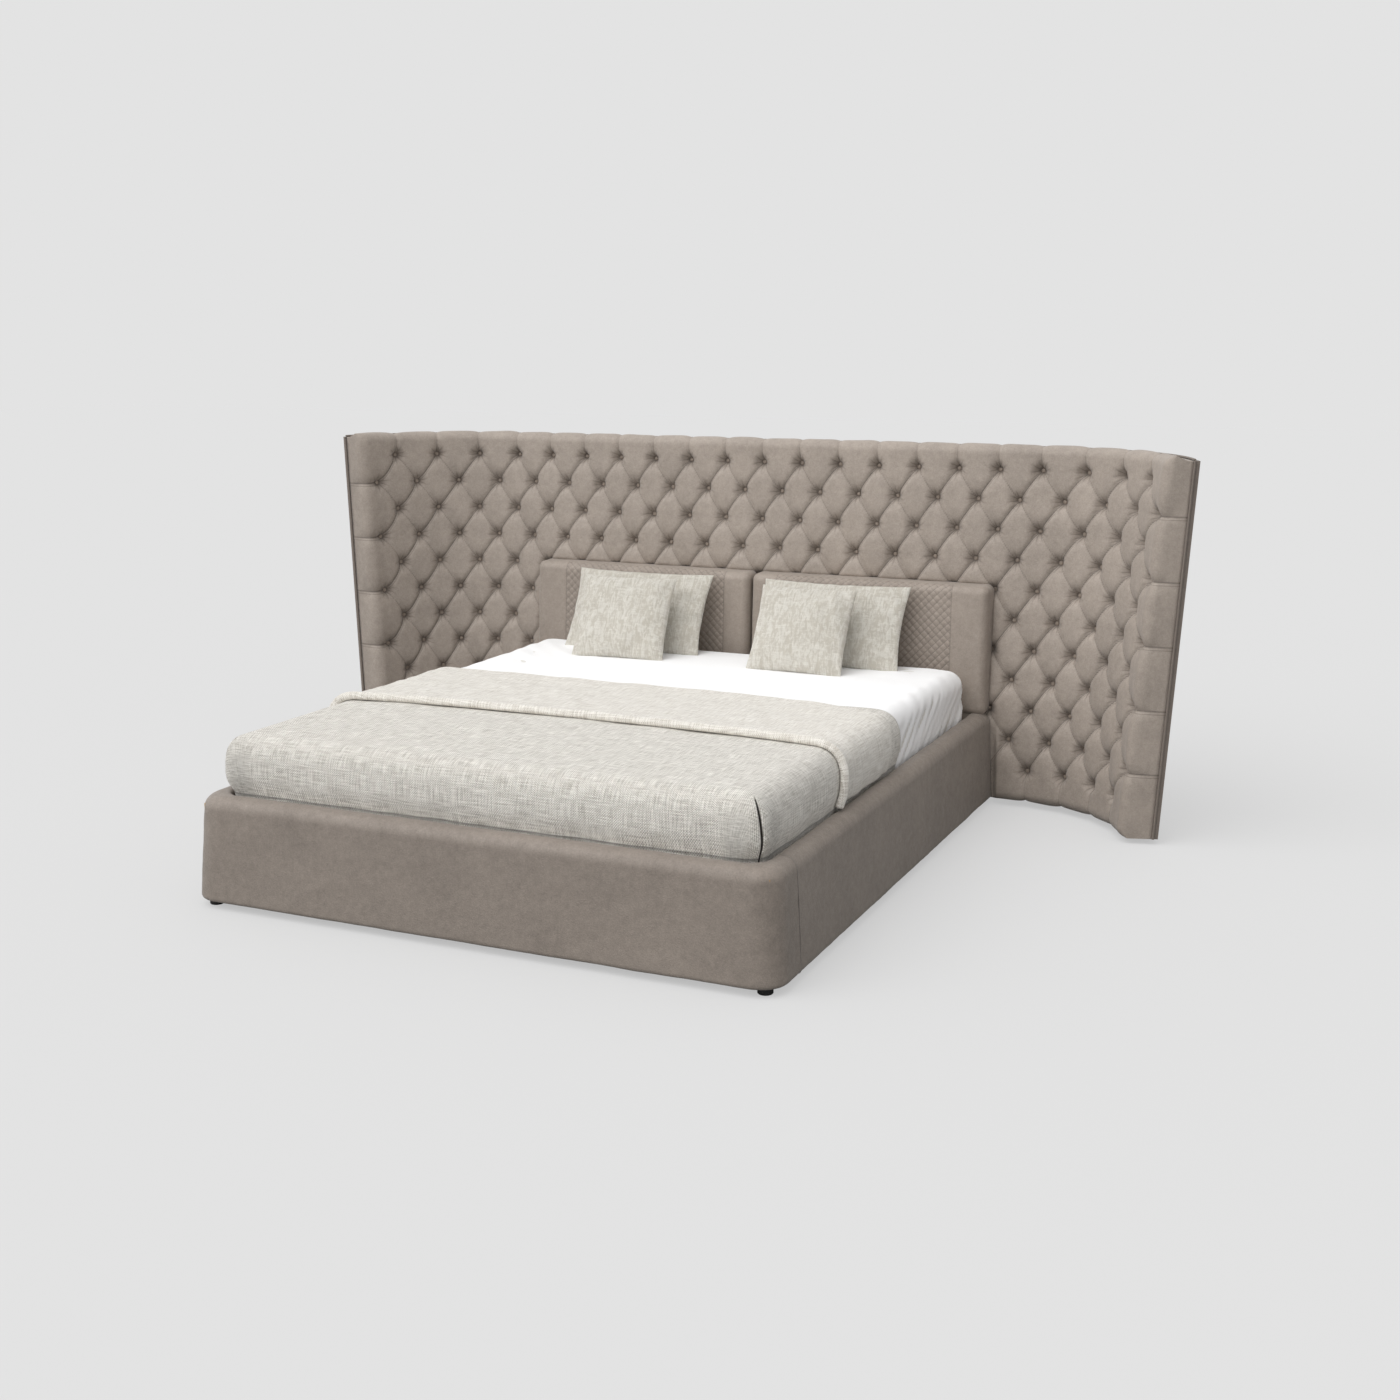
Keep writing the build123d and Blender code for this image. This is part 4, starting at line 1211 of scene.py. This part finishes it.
def ring_grid(inset, height, box, radius, steps, open_rear=False):
    """The rings' x and y as they lie, and a z for each point."""
    plan = rings(inset, box, radius, steps, open_rear)
    z = np.broadcast_to(height[:, None], plan.shape[:2]) + 0.0
    return plan[..., 0], plan[..., 1], z


def as_cloth(first, second):
    """The cloth's own coordinates, with one row for each point."""
    return np.stack([first, second, np.zeros(first.shape)], axis=-1).reshape(-1, 3)


def grid_piece(name, x, y, z, material, values, closed):
    """A piece made of one grid of points. A closed one joins the last column to the first."""
    points = np.stack([x, y, z], axis=-1)
    rows, columns = points.shape[:2]
    faces = [quads(rows, columns, close_columns=closed)]
    piece = make_piece(name, points.reshape(-1, 3), faces, material, values)
    tidy_shell(piece, LINE_MERGE)
    return piece


def mattress():
    low, high = low_and_high("mattress")
    box = plan_box(low, high)
    inset, height = slab_section(box, low[2], high[2], EDGE)
    under = np.linspace(0.0, box[0] - LINE_HALF, 14)[1:]
    inset = np.concatenate([inset, under])
    height = np.concatenate([height, np.full(len(under), low[2])])
    x, y, z = ring_grid(inset, height, box, MATTRESS_RADIUS, (60, 10, 50))
    block = grid_piece("mattress_block", x, y, z, ticking_cloth, {"cloth": as_cloth(x, y + z)}, closed=True)
    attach(block, "bedding")
    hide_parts("mattress")


mattress()


# %% [markdown]
# The fitted sheet has the mattress's section, a little larger. Near the head it is creased: slanting waves
# with sharp valleys, one long and one short, which push the side of the sheet out and fade towards the top.

# %% Fitted sheet
SHEET_OVER = 0.0024
CREASE_FROM = BASE_FRONT + 1.25
CREASE_OUT = 0.0075
FINE_SHARE = 0.45
CORNER_OUT = 0.006
FAINT_RISE = 0.0016


def sheet():
    low, high = low_and_high("fitted_sheet")
    box = plan_box(low, high)
    half, rear = box[0], box[2]
    inset, height = slab_section(box, low[2], high[2], EDGE + SHEET_OVER)
    flat_x, y, z = ring_grid(inset, height, box, MATTRESS_RADIUS + SHEET_OVER, (300, 24, 200))
    side = smooth_step(np.abs(flat_x), half - 0.11, half - 0.005)
    head = smooth_step(y, CREASE_FROM, CREASE_FROM + 0.25)
    drop = high[2] - z
    slant = y + 1.5 * drop - 0.35 * np.abs(flat_x)
    creases = 0.6 - np.abs(ripple(slant, 0.25 * drop, 0.10, 51, 5))
    creases = creases + FINE_SHARE * (0.6 - np.abs(ripple(slant, 0.4 * drop, 0.045, 52, 5)))
    outward = CREASE_OUT * creases * side * head * smooth_step(drop, 0.012, 0.075)
    outward = outward + CORNER_OUT * smooth_step(y, rear - 0.45, rear - 0.05) * side
    faint = FAINT_RISE * head * ripple(y + 0.5 * flat_x, flat_x, 0.13, 54)
    faint = faint * smooth_step(np.abs(flat_x), 0.25, 0.8)
    x = flat_x + np.sign(flat_x) * outward
    z = z + faint + 0.3 * outward * smooth_step(-drop, -0.02, 0.0)
    cloth = as_cloth(flat_x + np.sign(flat_x) * drop, y)
    cover = grid_piece("bed_sheet", x, y, z, sheet_cloth, {"cloth": cloth}, closed=True)
    thicken(cover, 0.0018)
    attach(cover, "bedding")
    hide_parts("fitted_sheet")


sheet()


# %% [markdown]
# ## The coverlet
# A heavy woven coverlet lies over the foot end and hangs into the gap round the mattress. Between the
# shoulder and the rim it bellies out. At the two foot corners the cloth is mitred: the front drop and the
# side drop meet along a line that is pinched in, and shade is painted dark along it. A thin painted contact
# shadow runs where the coverlet meets the rim.

# %% Section of the coverlet
COVER = low_and_high("coverlet")
COVER_BOX = plan_box(*COVER)
COVER_TOP = COVER[1][2]
COVER_LOW = COVER[0][2]
BELLY_Z = 0.432
BELLY_OUT = 0.014
SHOULDER_IN = 0.088
SQUARENESS = 0.74


def cover_section(middle_points):
    """Insets and heights: flat top, a squared quarter of an ellipse for the shoulder down to the belly,
    then an eased run back in to the bottom edge."""
    flat = np.linspace(COVER_BOX[0] - LINE_HALF, SHOULDER_IN, middle_points)
    turn = np.linspace(0, np.pi / 2, 26)[1:]
    shoulder = SHOULDER_IN - (SHOULDER_IN + BELLY_OUT) * np.sin(turn) ** SQUARENESS
    shoulder_z = BELLY_Z + (COVER_TOP - BELLY_Z) * np.cos(turn) ** SQUARENESS
    down = np.linspace(BELLY_Z, COVER_LOW, 20)[1:]
    tuck = -BELLY_OUT + (BELLY_OUT + 0.005) * smooth_step(-down, -BELLY_Z + 0.005, -BELLY_Z + 0.095)
    inset = np.concatenate([flat, shoulder, tuck])
    return inset, np.concatenate([np.full(len(flat), COVER_TOP), shoulder_z, down])


# %% Build the coverlet
SIDE_STEPS = 110
BEND_STEPS = 96
FOOT_STEPS = 170
SLIT_DEPTH = 0.010
SLIT_HALF = 0.0032
SLIT_TOP_INSET = 0.030
SLIT_LEAN = 10.0
GAP_SHADOW = 0.0026
GAP_FADE = 0.3
TIGHT_BEND = 0.046
WIDER_BEND = 0.024


def slit_distance(radius, z):
    """Distance to the nearer corner line. It is counted in grid columns from the middle of the bend, leans
    a little over the shoulder, and becomes a length by the width of one column of the bend."""
    number = np.arange(z.shape[1])[None, :]
    first_corner = SIDE_STEPS - 1 + (BEND_STEPS - 1) * 0.5
    last_corner = z.shape[1] - 1 - first_corner
    lean = SLIT_LEAN * smooth_step(-z, -0.53, -0.38)
    off = np.minimum(np.abs(number - (first_corner - lean)), np.abs(number - (last_corner + lean)))
    arc = radius[:, None] * np.pi / 2 / BEND_STEPS
    return off * arc


def coverlet():
    inset, height = cover_section(30)
    radius = TIGHT_BEND + WIDER_BEND * smooth_step(-height, -0.40, -0.35)
    steps = (SIDE_STEPS, BEND_STEPS, FOOT_STEPS)
    flat_x, flat_y, z = ring_grid(inset, height, COVER_BOX, radius[:, None], steps, open_rear=True)
    out_x = smooth_step(np.abs(flat_x), COVER_BOX[0] - 0.12, COVER_BOX[0] - 0.02) * np.sign(flat_x)
    out_y = -smooth_step(-flat_y, -(COVER_BOX[1] + 0.12), -(COVER_BOX[1] + 0.02))
    # The corner lines, where shade is painted dark along the pinch.
    from_painted_shade = slit_distance(radius, z)
    open_here = smooth_step(-inset, -SLIT_TOP_INSET, -SLIT_TOP_INSET + 0.008)[:, None]
    pull = SLIT_DEPTH * np.exp(-(from_painted_shade / SLIT_HALF) ** 2) * open_here
    drop = COVER_TOP - z
    waves = 0.0030 * ripple(flat_x * 1.3 + flat_y, z * 0.3, 0.26, 61) * smooth_step(drop, 0.03, 0.16)
    length = np.hypot(out_x, out_y) + 1e-6
    outward = waves - pull
    x = flat_x + out_x / length * outward
    y = flat_y + out_y / length * outward
    edge = smooth_step(inset[:, None], 0.02, 0.15)
    z = z + 0.0016 * ripple(x, y, 0.30, 62) * edge - 0.004 * (1 - edge) * (pull / SLIT_DEPTH)
    # A thin painted contact shadow where the coverlet meets the rim.
    from_gap_shadow = GAP_SHADOW + GAP_FADE * np.maximum(np.abs(z - RIM_TOP - 0.001) - 0.003, 0)
    from_painted_shade = np.minimum(from_painted_shade + 0.1 * (1 - open_here), from_gap_shadow)
    values = {"cloth": as_cloth(flat_x + out_x * drop, flat_y + out_y * drop), "from_painted_shade": from_painted_shade.ravel()}
    cover = grid_piece("coverlet_cloth", x, y, z, coverlet_cloth, values, closed=False)
    thicken(cover, 0.007)
    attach(cover, "bedding")
    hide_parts("coverlet")


coverlet()


# %% [markdown]
# The head end of the coverlet is folded back on itself. The fold lies towards the foot as a soft roll. The
# strip is a flattened loop, two layers and a roll, carried over the bed from one side to the other.

# %% Turned-back band
BAND_LAYER = 0.0115
BAND_ROLL = 0.0130
BAND_LOW = 0.369
SMALL_FOLD = 0.034
SMALL_FOLD_RISE = 0.0016
LAYER_STEPS = 40
EASE_REACH = 0.10
FAR_RIGHT = ([0.0, 0.30, 0.60, 0.80, 0.95, 1.10], [1.289, 1.284, 1.268, 1.215, 1.165, 1.135])
NEAR_RIGHT = ([0.0, 0.44, 0.63, 0.81, 0.92, 1.00, 1.10], [0.750, 0.740, 0.730, 0.708, 0.690, 0.700, 0.655])
FAR_LEFT = ([0.0, 0.60, 0.90, 1.10], [1.289, 1.289, 1.286, 1.280])
NEAR_LEFT = ([0.0, 0.44, 0.70, 0.90, 1.10], [0.750, 0.742, 0.722, 0.690, 0.665])


def eased(along, knots):
    """The mean of the knots' straight runs over a short length either side, which rounds its corners."""
    shifts = np.linspace(-EASE_REACH, EASE_REACH, 9)
    return np.mean([np.interp(along + shift, *knots) for shift in shifts], axis=0)


def band_across():
    """Points (x, z) and outward normals over the bed from the left drop to the right one."""
    inset, height = cover_section(60)
    keep = height > BAND_LOW
    half = COVER_BOX[0] - inset[keep]
    right = np.column_stack([half, height[keep]])
    line = np.vstack([(right * (-1, 1))[::-1], right])
    run = np.gradient(line, axis=0)
    run /= np.linalg.norm(run, axis=1, keepdims=True) + 1e-12
    length = np.concatenate([[0], np.cumsum(np.linalg.norm(np.diff(line, axis=0), axis=1))])
    return line, np.column_stack([-run[:, 1], run[:, 0]]), length - length[-1] / 2


def band_loop():
    """Once round the strip's section: from far to near below, round the roll, back above, round the far
    edge. For each point: its share of the way to the far edge, an extra length, and its height."""
    share = np.concatenate([np.linspace(1, 0, LAYER_STEPS), np.zeros(11), np.linspace(0, 1, LAYER_STEPS),
                            np.ones(7)])
    turn = np.linspace(np.pi / 2, 3 * np.pi / 2, 13)[1:-1]
    far_turn = np.linspace(-np.pi / 2, np.pi / 2, 9)[1:-1]
    lower = np.full(LAYER_STEPS, 0.0006)
    puff = np.exp(-np.linspace(0, 1, LAYER_STEPS) / 0.06)
    upper = BAND_LAYER + (2 * BAND_ROLL - BAND_LAYER) * puff
    roll_up = BAND_ROLL - BAND_ROLL * np.sin(turn)
    far_up = BAND_LAYER / 2 - BAND_LAYER / 2 * np.sin(far_turn)
    flat = np.zeros(LAYER_STEPS)
    extra = np.concatenate([flat, BAND_ROLL * np.cos(turn), flat, BAND_LAYER / 2 * np.cos(far_turn)])
    return share, extra, np.concatenate([lower, roll_up, upper, far_up])


def band():
    line, normal, along = band_across()
    far = np.where(along > 0, eased(along, FAR_RIGHT), eased(-along, FAR_LEFT)) + BASE_FRONT
    near = np.where(along > 0, eased(along, NEAR_RIGHT), eased(-along, NEAR_LEFT)) + BASE_FRONT
    share, extra, up = band_loop()
    y = near[:, None] + (far - near)[:, None] * share[None, :] + extra[None, :]
    s = np.broadcast_to(along[:, None], y.shape)
    top_side = smooth_step(up, 0.002, BAND_LAYER)[None, :]
    waves = 0.0014 * ripple(s, y, 0.16, 71) + 0.0006 * ripple(s * 0.2, y, 0.035, 72)
    lift = up[None, :] + top_side * waves
    beside_roll = y - near[:, None]
    folds = np.cos(2 * np.pi * beside_roll / SMALL_FOLD) * np.exp(-(beside_roll / 0.11) ** 2)
    lift = lift + top_side * SMALL_FOLD_RISE * folds + 0.0012
    x = line[:, :1] + normal[:, :1] * lift
    z = line[:, 1:] + normal[:, 1:] * lift
    points = np.stack([x, y, z], axis=-1)
    rows, columns = points.shape[:2]
    caps = np.arange(columns)
    faces = [quads(rows, columns, close_columns=True), caps[None, :],
             (caps + (rows - 1) * columns)[None, ::-1]]
    values = {"cloth": as_cloth(s, y + 0.5 * up[None, :])}
    strip = make_piece("turnback_cloth", points.reshape(-1, 3), faces, band_cloth, values)
    tidy_shell(strip)
    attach(strip, "bedding")
    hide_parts("coverlet_turnback")


band()


# %% [markdown]
# ## Pillows
# A pillow is two panels sewn together at the edge and filled. The filling is thickest in the middle and
# thins to a knife edge. Its sides pull in between the corners, and the cloth puckers towards the seam.

# %% Shape of a pillow
PULL_IN = 0.055
FULLNESS = 0.46
PANEL_POINTS = 61


def pillow_points(width, height, thick, seed):
    """Two panels over u and v from -1 to 1. Half the thickness is (1 - u^2)(1 - v^2) to the power
    FULLNESS; each side is drawn in by PULL_IN times (1 - the other's square); puckers grow to the seam."""
    across = np.sin(np.linspace(-np.pi / 2, np.pi / 2, PANEL_POINTS))
    u, v = np.meshgrid(across, across)
    x = width / 2 * u * (1 - PULL_IN * (1 - v * v) * u * u)
    z = height / 2 * v * (1 - PULL_IN * (1 - u * u) * v * v)
    swell = ((1 - u * u) * (1 - v * v)) ** FULLNESS
    rim = np.maximum(np.abs(u), np.abs(v))
    sides = []
    for sign in (-1, 1):
        pucker = 0.0055 * ripple(x, z, 0.07, seed + sign) * smooth_step(rim, 0.2, 0.85) * swell ** 0.5
        slump = 0.0040 * ripple(x, z, 0.22, seed + 5 + sign) * swell
        sides.append(np.stack([x, sign * (thick / 2 * swell + pucker + slump), z], axis=-1))
    return sides


def pillow(name, body, size, lean, turn, seed, shift):
    """One pillow on its frame node's middle plus a shift. It leans back, then turns about the vertical.
    The seed sets its puckers, and moves its cloth along so that no two pillows have the same pattern."""
    low, high = low_and_high(name)
    middle = (low + high) / 2 + np.array(shift)
    lean, turn = math.radians(lean), math.radians(turn)
    local = np.stack(pillow_points(*size, seed))
    values = {"cloth": as_cloth(local[..., 0] + seed * 0.37, local[..., 2] + seed * 0.11)}
    y = local[..., 1] * math.cos(lean) + local[..., 2] * math.sin(lean)
    z = -local[..., 1] * math.sin(lean) + local[..., 2] * math.cos(lean)
    x = local[..., 0]
    turned = [x * math.cos(turn) - y * math.sin(turn), x * math.sin(turn) + y * math.cos(turn), z]
    points = np.stack(turned, axis=-1) + middle
    rows, columns = local.shape[1:3]
    front = quads(rows, columns)
    back = front[:, ::-1] + rows * columns
    cushion = make_piece(name.replace("pillow", "cushion"), points.reshape(-1, 3), [front, back],
                         pillow_cloth, values)
    tidy_shell(cushion)
    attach(cushion, body)
    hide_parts(name)


BACK_SIZE = (0.600, 0.348, 0.118)
FRONT_SIZE = (0.388, 0.350, 0.122)
pillow("pillow_back_left", "pillow_back_left_body", BACK_SIZE, 27, 0, 3, (-0.034, 0.010, -0.006))
pillow("pillow_back_right", "pillow_back_right_body", BACK_SIZE, 27, 0, 4, (-0.014, 0.010, -0.006))
pillow("pillow_front_left", "pillow_front_left_body", FRONT_SIZE, 28, 4, 5, (-0.022, 0.0, 0.0))
pillow("pillow_front_right", "pillow_front_right_body", FRONT_SIZE, 28, -2, 6, (-0.013, 0.0, 0.0))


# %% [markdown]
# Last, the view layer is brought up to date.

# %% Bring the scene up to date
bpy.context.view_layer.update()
